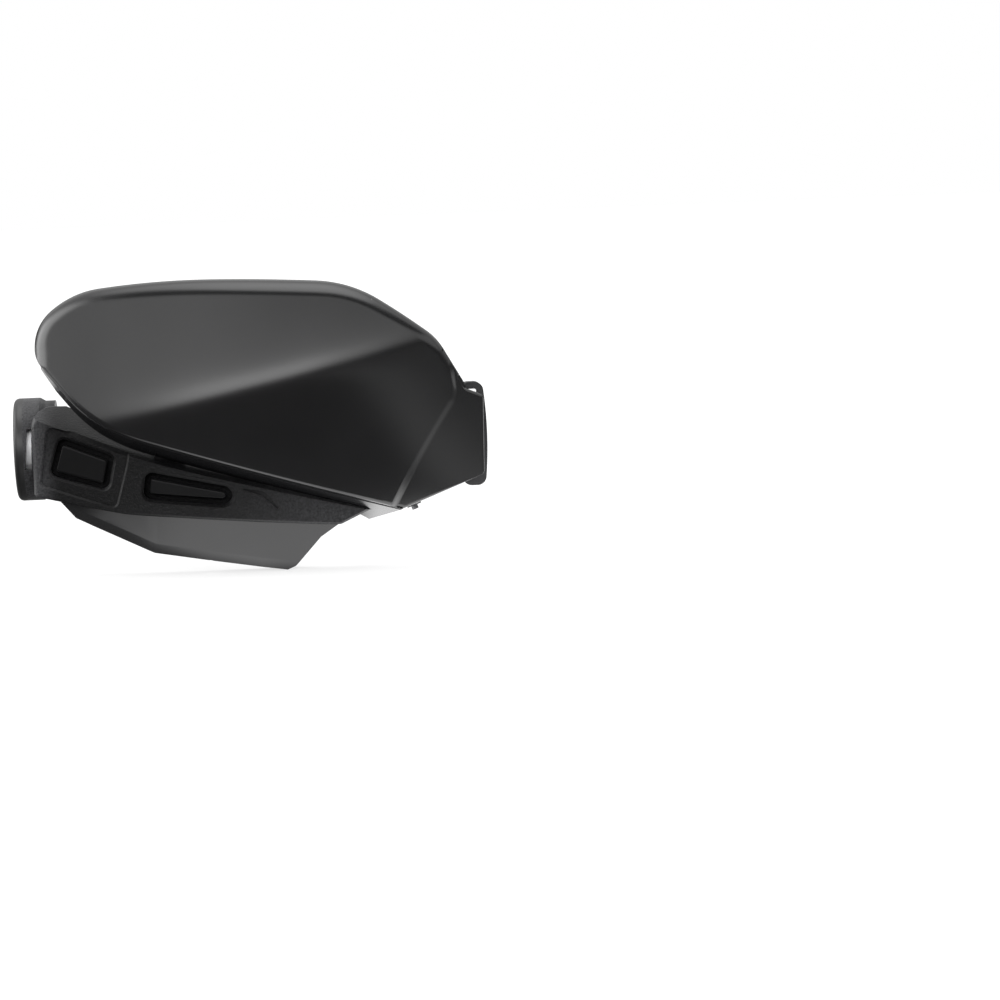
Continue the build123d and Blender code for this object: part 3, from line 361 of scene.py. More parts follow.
def tangent_arcs(points: Sequence[Point], heading: Point, steps: int) -> tuple[Array, Array]:
    """Sample a chain of arcs that follow each other without a corner.

    Each arc starts along the heading in which the one before it ends, and its turn is twice the angle
    between that heading and its chord.

    Args:
        points: Ends of the arcs, in millimetres of the front view.
        heading: Direction at the first point.
        steps: Samples an arc.

    Returns:
        The points of the chain and the heading at its end.
    """
    ahead = unit(np.array(heading, float))
    line = [np.array([points[0]], float)]
    share = np.linspace(0, 1, steps + 1)[1:, None]
    for start, stop in zip(points, points[1:]):
        chord = np.subtract(stop, start)
        aside = np.array((-ahead[1], ahead[0]))
        turn = 2 * math.atan2(chord @ aside, chord @ ahead)
        radius = np.hypot(*chord) / (2 * math.sin(turn / 2))
        line.append(start + radius * (np.sin(share * turn) * ahead + (1 - np.cos(share * turn)) * aside))
        ahead = math.cos(turn) * ahead + math.sin(turn) * aside
    return np.concatenate(line), ahead


def filleted(points: Sequence[Point], radii: Sequence[float], steps: int) -> Array:
    """Sample an open polygon line whose inner corners are rounded.

    Args:
        points: Corners, in millimetres of the front view.
        radii: Radius at each inner corner.
        steps: Samples an arc.

    Returns:
        The points of the line.
    """
    line = [np.array([points[0]], float)]
    for before, corner, after, radius in zip(points, points[1:], points[2:], radii):
        back = unit(np.subtract(before, corner))
        on = unit(np.subtract(after, corner))
        cut = radius / math.tan(math.acos(float(back @ on)) / 2)
        ends = [tuple(corner + way * cut) for way in (back, on)]
        line.append(tangent_arcs(ends, tuple(-back), steps)[0])
    line.append(np.array([points[-1]], float))
    return np.concatenate(line)


def resampled(line: Array, count: int) -> Array:
    """Spread points evenly along a line.

    Args:
        line: Points of the line.
        count: Number of new points.

    Returns:
        The new points, with both ends of the line.
    """
    run = np.concatenate(([0], np.cumsum(np.hypot(*np.diff(line, axis=0).T))))
    even = np.linspace(0, run[-1], count)
    return np.stack([np.interp(even, run, line[:, k]) for k in (0, 1)], axis=1)


def nearest(points: Array, line: Array) -> tuple[Array, Array]:
    """Find the nearest places on a line.

    Args:
        points: Points of the front view, in any shape that ends in two.
        line: Points of the line.

    Returns:
        The least distances and the places on the line.
    """
    best = np.full(points.shape[:-1], np.inf)
    feet = np.zeros_like(points)
    for start, stop in zip(line, line[1:]):
        run = stop - start
        share = np.clip(((points - start) @ run) / max(run @ run, TINY), 0, 1)
        foot = start + share[..., None] * run
        gap = np.linalg.norm(points - foot, axis=-1)
        closer = gap < best
        best = np.where(closer, gap, best)
        feet = np.where(closer[..., None], foot, feet)
    return best, feet


def sheet(name: str, points: Array, outward: Array | Triple, closed: bool = False) -> Object:
    """Build a smooth mesh from a grid of points.

    Args:
        name: Name of the object.
        points: Grid of points in millimetres, rows by columns by three.
        outward: Direction in which the outside lies, for all points or for each.
        closed: Whether the last column joins the first.

    Returns:
        The new object.
    """
    rows, columns = points.shape[:2]
    here = np.arange(rows * columns).reshape(rows, columns)
    beside = np.roll(here, -1, axis=1)
    if not closed:
        here, beside = here[:, :-1], beside[:, :-1]
    quads = np.stack([here[:-1], beside[:-1], beside[1:], here[1:]], axis=-1).reshape(-1, 4)
    flat = points.reshape(-1, 3) * MM
    across = np.cross(flat[quads[:, 2]] - flat[quads[:, 0]], flat[quads[:, 3]] - flat[quads[:, 1]])
    outside = np.broadcast_to(outward, points.shape).reshape(-1, 3)
    if (across * outside[quads[:, 0]]).sum() < 0:
        quads = quads[:, ::-1]
    mesh = bpy.data.meshes.new(name)
    mesh.from_pydata(flat.tolist(), [], quads.tolist())
    mesh.shade_smooth()
    return add_object(name, mesh)


class Skin:
    """A moulded front skin whose depth is a formula over the front view, in millimetres.

    Attributes:
        hub: Share of a ray at which a star of rays starts.
        probe: Short way inwards that finds which way an edge faces.
    """

    hub: float = 0.004
    probe: float = 0.001

    def depth(self, flat: Array) -> Array:
        """Depth of the front skin.

        Args:
            flat: Front-view points.

        Returns:
            The depths.
        """
        raise NotImplementedError

    def lifted(self, flat: Array, back: Array | float) -> Array:
        """Bring front-view points to their depth.

        Args:
            flat: Front-view points.
            back: How far they lie behind the formula's skin.

        Returns:
            The points in space.
        """
        return np.stack([flat[..., 0], self.depth(flat) + back, flat[..., 1]], axis=-1)

    def _star(self, middle: Point, border: Array, reach: float, inner: int, outer: int) -> Array:
        """Points on rays from a middle to a border, closer together near the border.

        Args:
            middle: Start of the rays.
            border: Ends of the rays.
            reach: Length of the fine stretch at the border.
            inner: Rows of the coarse stretch.
            outer: Rows of the fine stretch.

        Returns:
            Grid of front-view points, rows by rays by two.
        """
        arms = border - np.array(middle)
        knee = 1 - reach / np.hypot(*arms.T)
        coarse = np.linspace(self.hub, 1, inner)[:-1, None] * knee
        fine = 1 - (1 - knee) * np.linspace(1, 0, outer)[:, None] ** 2
        return np.array(middle) + np.concatenate([coarse, fine])[..., None] * arms

    def _skirt(self, name: str, line: Array, start: Array, stop: Array | float, middle: Point,
               rows: int) -> Object:
        """A wall that runs straight back from a line.

        Args:
            name: Name of the object.
            line: Points of the front view.
            start: Distance of the front edge behind the formula's skin.
            stop: Distance of the rear edge.
            middle: A point on the inside.
            rows: Rows of points.

        Returns:
            The new object.
        """
        share = np.linspace(0, 1, rows)[:, None]
        points = self.lifted(np.broadcast_to(line, (rows, *line.shape)), start + share * (stop - start))
        outward = (points - np.array((middle[0], 0.0, middle[1]))) * (1, 0, 1)
        return sheet(name, points, outward)

    def rolled(self, flat: Array, line: Array, radii: Sequence[Point], middle: Point) -> Array:
        """Drop of an edge that is rounded by an arc which touches both the skin and the wall at the edge.

        With the slope m of the skin square to the edge and the radius R, the arc ends at the distance
        R (1 + m / sqrt(1 + m^2)) from the edge, and within it the drop at a distance d is
        m (R - d) + R sqrt(1 + m^2) - sqrt(R^2 - (R - d)^2).

        Args:
            flat: Front-view points.
            line: Edge in the front view.
            radii: Places along the bar and the radius there.
            middle: A point on the inside.

        Returns:
            How far the points lie behind the formula's skin.
        """
        gap, _ = nearest(flat, line)
        inside = flat + self.probe * unit(np.array(middle) - flat)
        shift, foot = nearest(inside, line)
        ahead = (inside - foot) / np.maximum(shift, TINY)[..., None]
        radius = np.interp(foot[..., 0], *np.array(radii).T)
        slope = (self.depth(foot + ahead * radius[..., None] / 2) - self.depth(foot)) / (radius / 2)
        stretch = np.sqrt(1 + slope**2)
        width = radius * (1 + slope / stretch)
        short = radius - np.clip(gap, 0, width)
        drop = slope * short + radius * stretch - np.sqrt(np.clip(radius**2 - short**2, 0, None))
        return np.where(gap < width, np.maximum(drop, 0), 0)


@dataclass(frozen=True)
class ShieldSizes:
    """Sizes of the shield, in millimetres, as in its solid.

    Attributes:
        reach: Depth of the nose in front of the bar.
        nose_x: Place of the nose along the bar.
        bend: Radius of the plan arc.
        upper_lean: Slope above the crease.
        lower_lean: Slope below it.
        crease: Two points of the crease.
        softness: Softness of the crease.
        wall: Wall thickness.
        rim_radii: Places along the bar and the radius of the rolled rim there.
        rim_depth: Depth of the rim behind the skin.
        bead_radii: Places along the bar and the rounding of the lower edge there.
        tip: Start of the crown.
        crown: Ends of the crown's arcs.
        shoulder: Length of the straight shoulder.
        seam: Ends of the straight stretch of the lower edge.
        sweep: Ends of the arcs from there to the tip.
        step: Corners of the step.
        step_radius: Radius of its bend.
        facet: Direction of the step's facet.
        setback: How far the wing lies behind the field.
        wing: Corners of the wing's free edge, from the lower edge up.
        wing_radii: Radii at its inner corners.
        wing_round: Place and rounding of that edge.
        wing_depth: Depth of the wing's skirt.
        field_middle: Point that sees all of the field's border.
        wing_middle: Point that sees all of the wing's border.
        far: Plane in front of the object on which the step is drawn.
    """

    reach: float = 92.0
    nose_x: float = 140.0
    bend: float = 250.0
    upper_lean: float = 0.40
    lower_lean: float = 0.20
    crease: tuple[Point, Point] = ((54.6, 22.7), (207.7, 56.7))
    softness: float = 9.0
    wall: float = 3.2
    rim_radii: Points = ((-9.0, 19.0), (30.0, 13.5), (150.0, 13.0), (205.0, 8.5))
    rim_depth: float = 17.0
    bead_radii: Points = ((-6.0, 4.2), (45.0, 2.6))
    tip: Point = (-9.0, 57.0)
    crown: Points = ((0.5, 77.3), (28.0, 89.2), (92.3, 92.4), (147.5, 89.8), (181.6, 78.2),
                                (206.0, 60.8), (215.0, 50.5))
    shoulder: float = 24.0
    seam: tuple[Point, Point] = ((189.8, -36.8), (52.1, 5.7))
    sweep: Points = ((29.5, 15.1), (9.2, 31.3), (-4.6, 47.0), (-8.6, 54.7))
    step: Points = ((218.0, 56.0), (218.6, 25.3), (179.0, -41.4))
    step_radius: float = 20.0
    facet: Triple = (1.0, 1.0, -0.35)
    setback: float = 2.6
    wing: Points = ((189.8, -36.8), (236.2, -20.3), (236.6, 23.4), (225.6, 28.2), (215.0, 50.5))
    wing_radii: Triple = (2.5, 2.5, 5.0)
    wing_round: Points = ((225.0, 1.9),)
    wing_depth: float = 11.0
    field_middle: Point = (105.0, 30.0)
    wing_middle: Point = (228.0, 5.0)
    far: float = 110.0


class Shield(Skin):
    """The moulded shield: its skins follow formulas, and its back is the solid's own.

    Attributes:
        strip_rows: Rows of the facet's strip.
        strip_least: Least share of the strip's width that is kept at the wing's neck.
        shoulder_grid: Columns of the shoulder, rows of its roll and rows of its wall.
    """

    strip_rows: int = 14
    strip_least: float = 0.01
    shoulder_grid: tuple[int, int, int] = (60, 10, 8)

    def __init__(self, sizes: ShieldSizes) -> None:
        """Draw the lines of the shield in the front view.

        Args:
            sizes: Sizes of the shield.
        """
        self.sizes = sizes
        crown, ahead = tangent_arcs((sizes.tip, *sizes.crown), (0, 1), steps=60)
        shoulder = np.stack([crown[-1], crown[-1] + ahead * sizes.shoulder])
        straight = np.array(sizes.seam)
        sweep, out = tangent_arcs((sizes.seam[1], *sizes.sweep), tuple(straight[1] - straight[0]), steps=40)
        self.rim = np.concatenate([[(sizes.tip[0], 0.0)], crown, shoulder[1:]])
        self.seam = np.concatenate([straight[:1], sweep])
        self.step = self._step_line(shoulder)
        self.wing = filleted(sizes.wing, sizes.wing_radii, steps=10)
        runout = sweep[-1] + out * (sizes.tip[0] - sweep[-1][0]) / out[0]
        lines = {
            Edge.CROWN: crown,
            Edge.SHOULDER: np.stack([crown[-1], self.step[0]]),
            Edge.STEP: self.step,
            Edge.SEAM: np.concatenate([[self._on_seam(self.step[-1])], sweep, [runout]]),
            Edge.TIP: np.stack([runout, crown[0]]),
        }
        self.border = {edge: resampled(line, edge.value) for edge, line in lines.items()}

    def depth(self, flat: Array) -> Array:
        """Depth of the front skin: a plan parabola plus a soft fold along the crease.

        Args:
            flat: Front-view points.

        Returns:
            The depths.
        """
        s = self.sizes
        run = unit(np.subtract(s.crease[1], s.crease[0]))
        above = area_between(run, flat - np.array(s.crease[0]))
        soft = np.hypot(above, s.softness) - s.softness
        fold = (s.upper_lean - s.lower_lean) / 2 * above + (s.upper_lean + s.lower_lean) / 2 * soft
        return -s.reach + (flat[..., 0] - s.nose_x) ** 2 / (2 * s.bend) + fold

    def _on_seam(self, point: Array) -> Array:
        """Move a point squarely onto the straight stretch of the lower edge.

        Args:
            point: Front-view point near that edge.

        Returns:
            The moved point.
        """
        low, high = np.array(self.sizes.seam)
        run = unit(high - low)
        return low + run * ((point - low) @ run)

    def _step_line(self, shoulder: Array) -> Array:
        """Where the slanted facet of the step meets the front skin.

        Args:
            shoulder: The two ends of the straight shoulder.

        Returns:
            Points from the shoulder down to the lower edge.
        """
        s = self.sizes
        facet = np.array(s.facet)[[0, 2]]
        ends = np.array(s.step)
        far_ends = ends - facet * (s.far + self.depth(ends))[:, None]
        drawn = resampled(filleted([tuple(p) for p in far_ends], [s.step_radius], steps=40), count=400)
        line = drawn
        for _ in range(SEARCH_ROUNDS):
            line = drawn + facet * (s.far + self.depth(line))[:, None]
        inside = np.full(len(line), True)
        for start, stop in (shoulder, np.array(s.seam)):
            inside &= area_between(stop - start, line - start) < 0
        return line[inside]

    def field_back(self, flat: Array) -> Array:
        """How far the field lies behind the formula's skin: rolled at the rim, beaded at the lower edge.

        Args:
            flat: Front-view points.

        Returns:
            The distances.
        """
        s = self.sizes
        rim = self.rolled(flat, self.rim, s.rim_radii, s.field_middle)
        return np.maximum(rim, self.rolled(flat, self.seam, s.bead_radii, s.field_middle))

    def wing_back(self, flat: Array) -> Array:
        """How far the wing lies behind the formula's skin.

        Args:
            flat: Front-view points.

        Returns:
            The distances.
        """
        s = self.sizes
        free = self.rolled(flat, self.wing, s.wing_round, s.wing_middle)
        return s.setback + np.maximum(free, self.rolled(flat, self.seam, s.bead_radii, s.wing_middle))

    def build(self) -> list[Object]:
        """Make the field, its rim and lower wall, the facet, the shoulder and the wing with its skirt.

        Returns:
            The new objects.
        """
        s = self.sizes
        border = np.concatenate([line[:-1] for line in self.border.values()])
        flat = self._star(s.field_middle, border, reach=15.0, inner=64, outer=46)
        made = [sheet("shield_field", self.lifted(flat, self.field_back(flat)), TO_THE_FRONT, closed=True)]
        low = self.border[Edge.SEAM]
        tip, crown, shoulder = (self.border[edge] for edge in (Edge.TIP, Edge.CROWN, Edge.SHOULDER))
        walls = (
            ("shield_rim", np.concatenate([tip[:-1], crown, shoulder[1:]]), s.rim_depth, 8),
            ("shield_lower_wall", low, s.wall, 5),
            ("shield_tip", low[low[:, 0] < s.tip[0] + s.wall], s.rim_depth, 8),
        )
        for name, line, wall, rows in walls:
            start = self.field_back(line)
            made.append(self._skirt(name, line, start, np.maximum(start, wall), s.field_middle, rows))
        facet, edge = self._facet()
        return [*made, *facet, *self._wing(edge)]

    def _facet(self) -> tuple[list[Object], Array]:
        """The slanted strip from the field back to the wing, which leaves both without a corner, and a wall.

        With the share t of the way across, its drop behind the skin is the setback times 3 t^2 - 2 t^3.

        Returns:
            The new objects and the front-view points of the far edge, where the strip meets the wing.
        """
        s = self.sizes
        line = self.border[Edge.STEP]
        facet = np.array(s.facet)
        ahead = facet[[0, 2]]
        start = self.depth(line)
        travel = np.zeros(len(line))
        for _ in range(SEARCH_ROUNDS):
            travel += self.depth(line + ahead * travel[:, None]) + s.setback - start - facet[1] * travel
        corner = np.array(s.wing[-1])
        neck = np.array(s.wing[-2]) - corner
        room = -area_between(neck, line - corner) / area_between(neck, ahead)
        share = np.linspace(0, 1, self.strip_rows)[:, None] * np.clip(room / travel, self.strip_least, 1)
        flat = line + (share * travel)[..., None] * ahead
        back = s.setback * share**2 * (3 - 2 * share) + self.field_back(flat) * (1 - share)
        strip = sheet("shield_facet", self.lifted(flat, back), outward=(0.6, -0.7, -0.3))
        free = room > travel
        held = int(np.argmax(free)) + 1
        return [strip, self._shoulder(flat[-1, :held], back[-1, :held])], flat[-1][free]

    def _shoulder(self, line: Array, drop: Array) -> Object:
        """The wall of the straight shoulder, which rolls over to the strip and, further down, to the wing.

        The roll is a quarter of an ellipse: with an angle from nothing to a right angle, its way outwards
        follows the sine and its way back one less the cosine.

        Args:
            line: Front-view points of the strip's end at the wing's neck.
            drop: How far they lie behind the formula's skin.

        Returns:
            The new object.
        """
        s = self.sizes
        corner = np.array(s.wing[-1])
        neck = unit(np.array(s.wing[-2]) - corner)
        ahead = (self.rim[-1] - corner) / s.shoulder
        reached = np.linalg.norm(line - corner, axis=1)
        columns, roll_rows, wall_rows = self.shoulder_grid
        along = np.linspace(reached[0], s.shoulder, columns)
        inner = np.interp(along, reached, drop)
        inner[along > reached[-1]] = s.setback + s.wing_round[0][1]
        edge = corner + along[:, None] * ahead
        outer = self.field_back(edge)
        turn = np.linspace(0, math.pi / 2, roll_rows)[:, None]
        across = neck + (ahead - neck) * np.sin(turn)[..., None]
        roll = self.lifted(corner + along[:, None] * across, inner + (outer - inner) * (1 - np.cos(turn)))
        share = np.linspace(0, 1, wall_rows + 1)[1:, None]
        below = np.broadcast_to(edge, (wall_rows, *edge.shape))
        wall = self.lifted(below, outer + (s.rim_depth - outer) * share)
        return sheet("shield_shoulder", np.concatenate([roll, wall]), outward=(0.8, -0.2, 0.5))

    def _wing(self, edge: Array) -> list[Object]:
        """The set-back wing and its skirt.

        Args:
            edge: Front-view points where the facet meets the wing, from the top down.

        Returns:
            The new objects.
        """
        s = self.sizes
        lower = resampled(np.stack([self._on_seam(edge[-1]), s.seam[0]]), count=14)
        free = resampled(self.wing, count=400)
        free = free[:np.argmin(np.linalg.norm(free - edge[0], axis=1)) + 1]
        border = np.concatenate([edge[:-1], lower[:-1], free])
        flat = self._star(s.wing_middle, border, reach=3.0, inner=30, outer=18)
        skin = sheet("shield_wing", self.lifted(flat, self.wing_back(flat)), TO_THE_FRONT, closed=True)
        start, stop = self.wing_back(free), s.setback + s.wing_depth
        return [skin, self._skirt("shield_wing_skirt", free, start, stop, s.wing_middle, rows=8)]


@dataclass(frozen=True)
class ArmSizes:
    """Sizes of the carrier arm and the lip below it, in millimetres, as in their solids.

    Attributes:
        reach: Depth of the nose in front of the bar.
        nose_x: Place of the nose of the plan arc.
        bend: Radius of the plan arc.
        steepest: Share of that radius past which the slope stays as it is.
        belly: Corners of the lower edge.
        blend: How far the lip's two stretches blend on either side of the belly's middle corner.
        lean: Slope of the lip's face.
        lip_rise: Height of the facet along its lower edge.
        lip_run: Depth of that facet.
        lip_edge: Ends of the two facets.
    """

    reach: float = 73.0
    nose_x: float = 115.0
    bend: float = 230.0
    steepest: float = 0.95
    belly: Points = ((-20.0, -22.5), (38.0, -33.6), (155.5, -43.7))
    blend: float = 16.0
    lean: float = 0.34
    lip_rise: float = 5.5
    lip_run: float = 2.2
    lip_edge: Points = ((10.2, -36.4), (53.0, -56.4), (125.5, -68.4))

    def slopes(self, face: Face, x: Array) -> tuple[Array, Array]:
        """Slopes of the depth of a face.

        Args:
            face: Which face.
            x: Places along the bar.

        Returns:
            Slopes along the bar and upwards.
        """
        past = np.clip((x - self.nose_x) / self.bend, -self.steepest, self.steepest)
        along, up = past / np.sqrt(1 - past**2), np.zeros_like(x)
        if face is Face.ARM:
            return along, up
        runs = np.diff(self.belly, axis=0)
        knee = self.belly[1][0]
        fall = np.interp(x, (knee - self.blend, knee + self.blend), runs[:, 1] / runs[:, 0])
        along, up = along + self.lean * fall, up - self.lean
        if face is Face.LIP:
            return along, up
        edge = self.lip_edge[:2] if face is Face.OUTER_FACET else self.lip_edge[1:]
        run = unit(np.subtract(edge[1], edge[0])) * self.lip_run / self.lip_rise
        return along + run[1], up - run[0]


@dataclass(frozen=True)
class PlateSizes:
    """Sizes of a plate in a pocket of the arm, in millimetres, as in its solid.

    Attributes:
        pocket: Corners of the pocket.
        moat: Gap between the pocket and the plate.
        sink: How far the plate lies behind the arm's face.
        corner: Radius of the plate's corners.
        edge: Rounding of the plate's edge.
        wall: Depth of the plate's visible wall.
    """

    pocket: Points
    moat: float = 3.2
    sink: float = 1.8
    corner: float = 1.4
    edge: float = 1.1
    wall: float = 2.2


PLATES: dict[str, PlateSizes] = {
    "outer_insert": PlateSizes(((3.1, 8.8), (33.4, -2.1), (29.1, -20.6), (-3.4, -12.2))),
    "inner_insert": PlateSizes(((50.2, -10.4), (94.5, -20.0), (98.6, -25.8), (93.0, -30.0), (48.2, -25.5))),
}


class Plate(Skin):
    """A smooth plate that follows the arm's arc inside a pocket."""

    def __init__(self, name: str, sizes: PlateSizes, arm: ArmSizes) -> None:
        """Draw the plate's outline in the front view.

        Args:
            name: Name of the CAD node.
            sizes: Sizes of the plate.
            arm: Sizes of the arm.
        """
        self.name = name
        self.sizes = sizes
        self.arm = arm
        corners = np.array(sizes.pocket)
        runs = unit(np.roll(corners, -1, axis=0) - corners)
        starts = corners + sizes.moat * np.stack([runs[:, 1], -runs[:, 0]], axis=1)
        before = np.roll(runs, 1, axis=0)
        shift = area_between(np.roll(starts, 1, axis=0) - starts, before) / area_between(runs, before)
        inner = starts + shift[:, None] * runs
        middle = (inner[0] + inner[-1]) / 2
        ring = [tuple(p) for p in (middle, *inner, middle)]
        self.outline = resampled(filleted(ring, [sizes.corner] * len(inner), steps=12), count=240)
        self.middle = tuple(inner.mean(axis=0))

    def depth(self, flat: Array) -> Array:
        """Depth of the plate: an arc about the arm's upright axis.

        Args:
            flat: Front-view points.

        Returns:
            The depths.
        """
        radius = self.arm.bend - self.sizes.sink
        return self.arm.bend - self.arm.reach - np.sqrt(radius**2 - (flat[..., 0] - self.arm.nose_x) ** 2)

    def build(self) -> list[Object]:
        """Make the plate's face and its wall.

        Returns:
            The new objects.
        """
        radii = ((0.0, self.sizes.edge),)
        flat = self._star(self.middle, self.outline[:-1], reach=1.6, inner=24, outer=16)
        points = self.lifted(flat, self.rolled(flat, self.outline, radii, self.middle))
        face = sheet(f"{self.name}_face", points, TO_THE_FRONT, closed=True)
        start = self.rolled(self.outline, self.outline, radii, self.middle)
        wall = self._skirt(f"{self.name}_wall", self.outline, start, self.sizes.wall, self.middle, rows=4)
        return [face, wall]


@dataclass
class Dresser:
    """Gives every CAD node a smooth copy with its finish.

    Attributes:
        arm: Sizes of the arm and the lip.
        weld: Distance within which vertices are joined, in metres.
        crease: Angle above which an edge stays sharp, in radians.
        match: Cosine above which a triangle counts as part of a face with a formula.
        near: Distance within which a skin covers a face, in metres.
        alike: Cosine above which a skin and a face that it covers look the same way.
    """

    arm: ArmSizes
    weld: float = 1e-6
    crease: float = math.radians(28)
    match: float = math.cos(math.radians(5))
    near: float = 2.0 * MM
    alike: float = 0.55

    def __post_init__(self) -> None:
        """Build each finish once."""
        self.materials = {finish: finish.material() for finish in set(NODE_FINISH.values())}

    def merged(self, node: str) -> Mesh:
        """Copy the mesh of a CAD node with its triangles joined.

        Args:
            node: Name of the CAD node.

        Returns:
            The new mesh.
        """
        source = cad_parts[node]
        mesh = source.data.copy()
        mesh.transform(source.matrix_world)
        if "custom_normal" in mesh.attributes:
            mesh.attributes.remove(mesh.attributes["custom_normal"])
        work = bmesh.new()
        work.from_mesh(mesh)
        bmesh.ops.remove_doubles(work, verts=work.verts, dist=self.weld)
        work.to_mesh(mesh)
        work.free()
        mesh.shade_smooth()
        mesh.set_sharp_from_angle(angle=self.crease)
        return mesh

    def follow(self, mesh: Mesh, faces: Sequence[Face]) -> None:
        """Give the triangles that lie on a face with a formula the normals of the formula.

        Args:
            mesh: Mesh to change.
            faces: Faces of the arm or the lip.
        """
        corner = np.zeros(len(mesh.loops), int)
        mesh.loops.foreach_get("vertex_index", corner)
        place = np.zeros(len(mesh.vertices) * 3)
        mesh.vertices.foreach_get("co", place)
        place = place.reshape(-1, 3)[corner] / MM
        owner = np.repeat(np.arange(len(mesh.polygons)), [len(p.vertices) for p in mesh.polygons])
        facing = np.zeros(len(mesh.polygons) * 3)
        mesh.polygons.foreach_get("normal", facing)
        facing = facing.reshape(-1, 3)[owner]
        best = np.full(len(mesh.polygons), self.match)
        normals = np.zeros_like(place)
        for face in faces:
            along, up = self.arm.slopes(face, place[:, 0])
            given = unit(np.stack([along, np.full_like(along, -1.0), up], axis=1))
            least = np.ones(len(mesh.polygons))
            np.minimum.at(least, owner, (given * facing).sum(axis=1))
            better = least > best
            best[better] = least[better]
            normals[better[owner]] = given[better[owner]]
        mesh.normals_split_custom_set(normals.tolist())

    def smooth_copy(self, node: str, faces: Sequence[Face]) -> Object:
        """Stand a merged, smoothly shaded copy in for a CAD node.

        Args:
            node: Name of the CAD node.
            faces: Faces with a formula that it has.

        Returns:
            The new object.
        """
        mesh = self.merged(node)
        if faces:
            self.follow(mesh, faces)
        made = add_object(f"{node}_form", mesh)
        self.place(made, node)
        return made

    def skinned(self, node: str, skins: Sequence[Object]) -> list[Object]:
        """Stand new skins in for the outside of a CAD node and keep the faces that they don't cover.

        Args:
            node: Name of the CAD node.
            skins: Objects that stand for its outside.

        Returns:
            The kept faces as one object, and the skins.
        """
        points = [(v.co.copy(), v.normal.copy()) for skin in skins for v in skin.data.vertices]
        tree = KDTree(len(points))
        for index, (place, _) in enumerate(points):
            tree.insert(place, index)
        tree.balance()
        mesh = self.merged(node)
        work = bmesh.new()
        work.from_mesh(mesh)
        covered = []
        for face in work.faces:
            hits = [tree.find(p) for p in (face.calc_center_median(), *[v.co for v in face.verts])]
            close = max(hit[2] for hit in hits) < self.near
            if close and points[hits[0][1]][1].dot(face.normal) > self.alike:
                covered.append(face)
        bmesh.ops.delete(work, geom=covered, context="FACES")
        work.to_mesh(mesh)
        work.free()
        made = [add_object(f"{node}_back", mesh), *skins]
        for piece in made:
            self.place(piece, node)
        return made

    def place(self, obj: Object, node: str) -> None:
        """Put the finish of a CAD node on an object that stands for it.

        Args:
            obj: Object to dress.
            node: Name of the CAD node.
        """
        finish = NODE_FINISH[node]
        obj.data.materials.clear()
        obj.data.materials.append(self.materials[finish])
        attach(obj, BODY)
        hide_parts(node)


@dataclass(frozen=True)
class Glow:
    """A soft patch of light: the product of one ramp for each axis that it names.

    Attributes:
        x: Places or directions along the bar and the brightness there, in rising order.
        y: The same along the depth.
        z: The same along the height.
    """

    x: Points = ()
    y: Points = ()
    z: Points = ()

    def add(self, tree: Tree, split: Node) -> Socket:
        """Add the patch to a node tree.

        Args:
            tree: Node tree to add to.
            split: Node with the three coordinates.

        Returns:
            Socket with the brightness of the patch.
        """
        axes = zip(split.outputs, (self.x, self.y, self.z))
        return combined(tree, "MULTIPLY", [self._ramp(tree, value, stops) for value, stops in axes if stops])

    def _ramp(self, tree: Tree, value: Socket, stops: Sequence[Point]) -> Socket:
        """Look a brightness up along a value.

        Args:
            tree: Node tree to add to.
            value: Socket with the value.
            stops: Values and their brightness, in rising order.

        Returns:
            Socket with the brightness.
        """
        low, high = stops[0][0], stops[-1][0]
        peak = max(bright for _, bright in stops)
        ramp = add_node(tree, "ValToRGB", {"Fac": ranged(tree, value, (low, high), (0.0, 1.0))})
        ramp.color_ramp.interpolation = "EASE"
        while len(ramp.color_ramp.elements) < len(stops):
            ramp.color_ramp.elements.new(0.5)
        for element, (at, bright) in zip(ramp.color_ramp.elements, stops):
            element.position = (at - low) / (high - low)
            element.color = (bright / peak, bright / peak, bright / peak, 1)
        return combined(tree, "MULTIPLY", (ramp.outputs["Color"], peak))


IN_FRONT: Points = ((-0.15, 1.0), (0.25, 0.0))
BEHIND: Points = ((-0.15, 0.0), (0.25, 1.0))


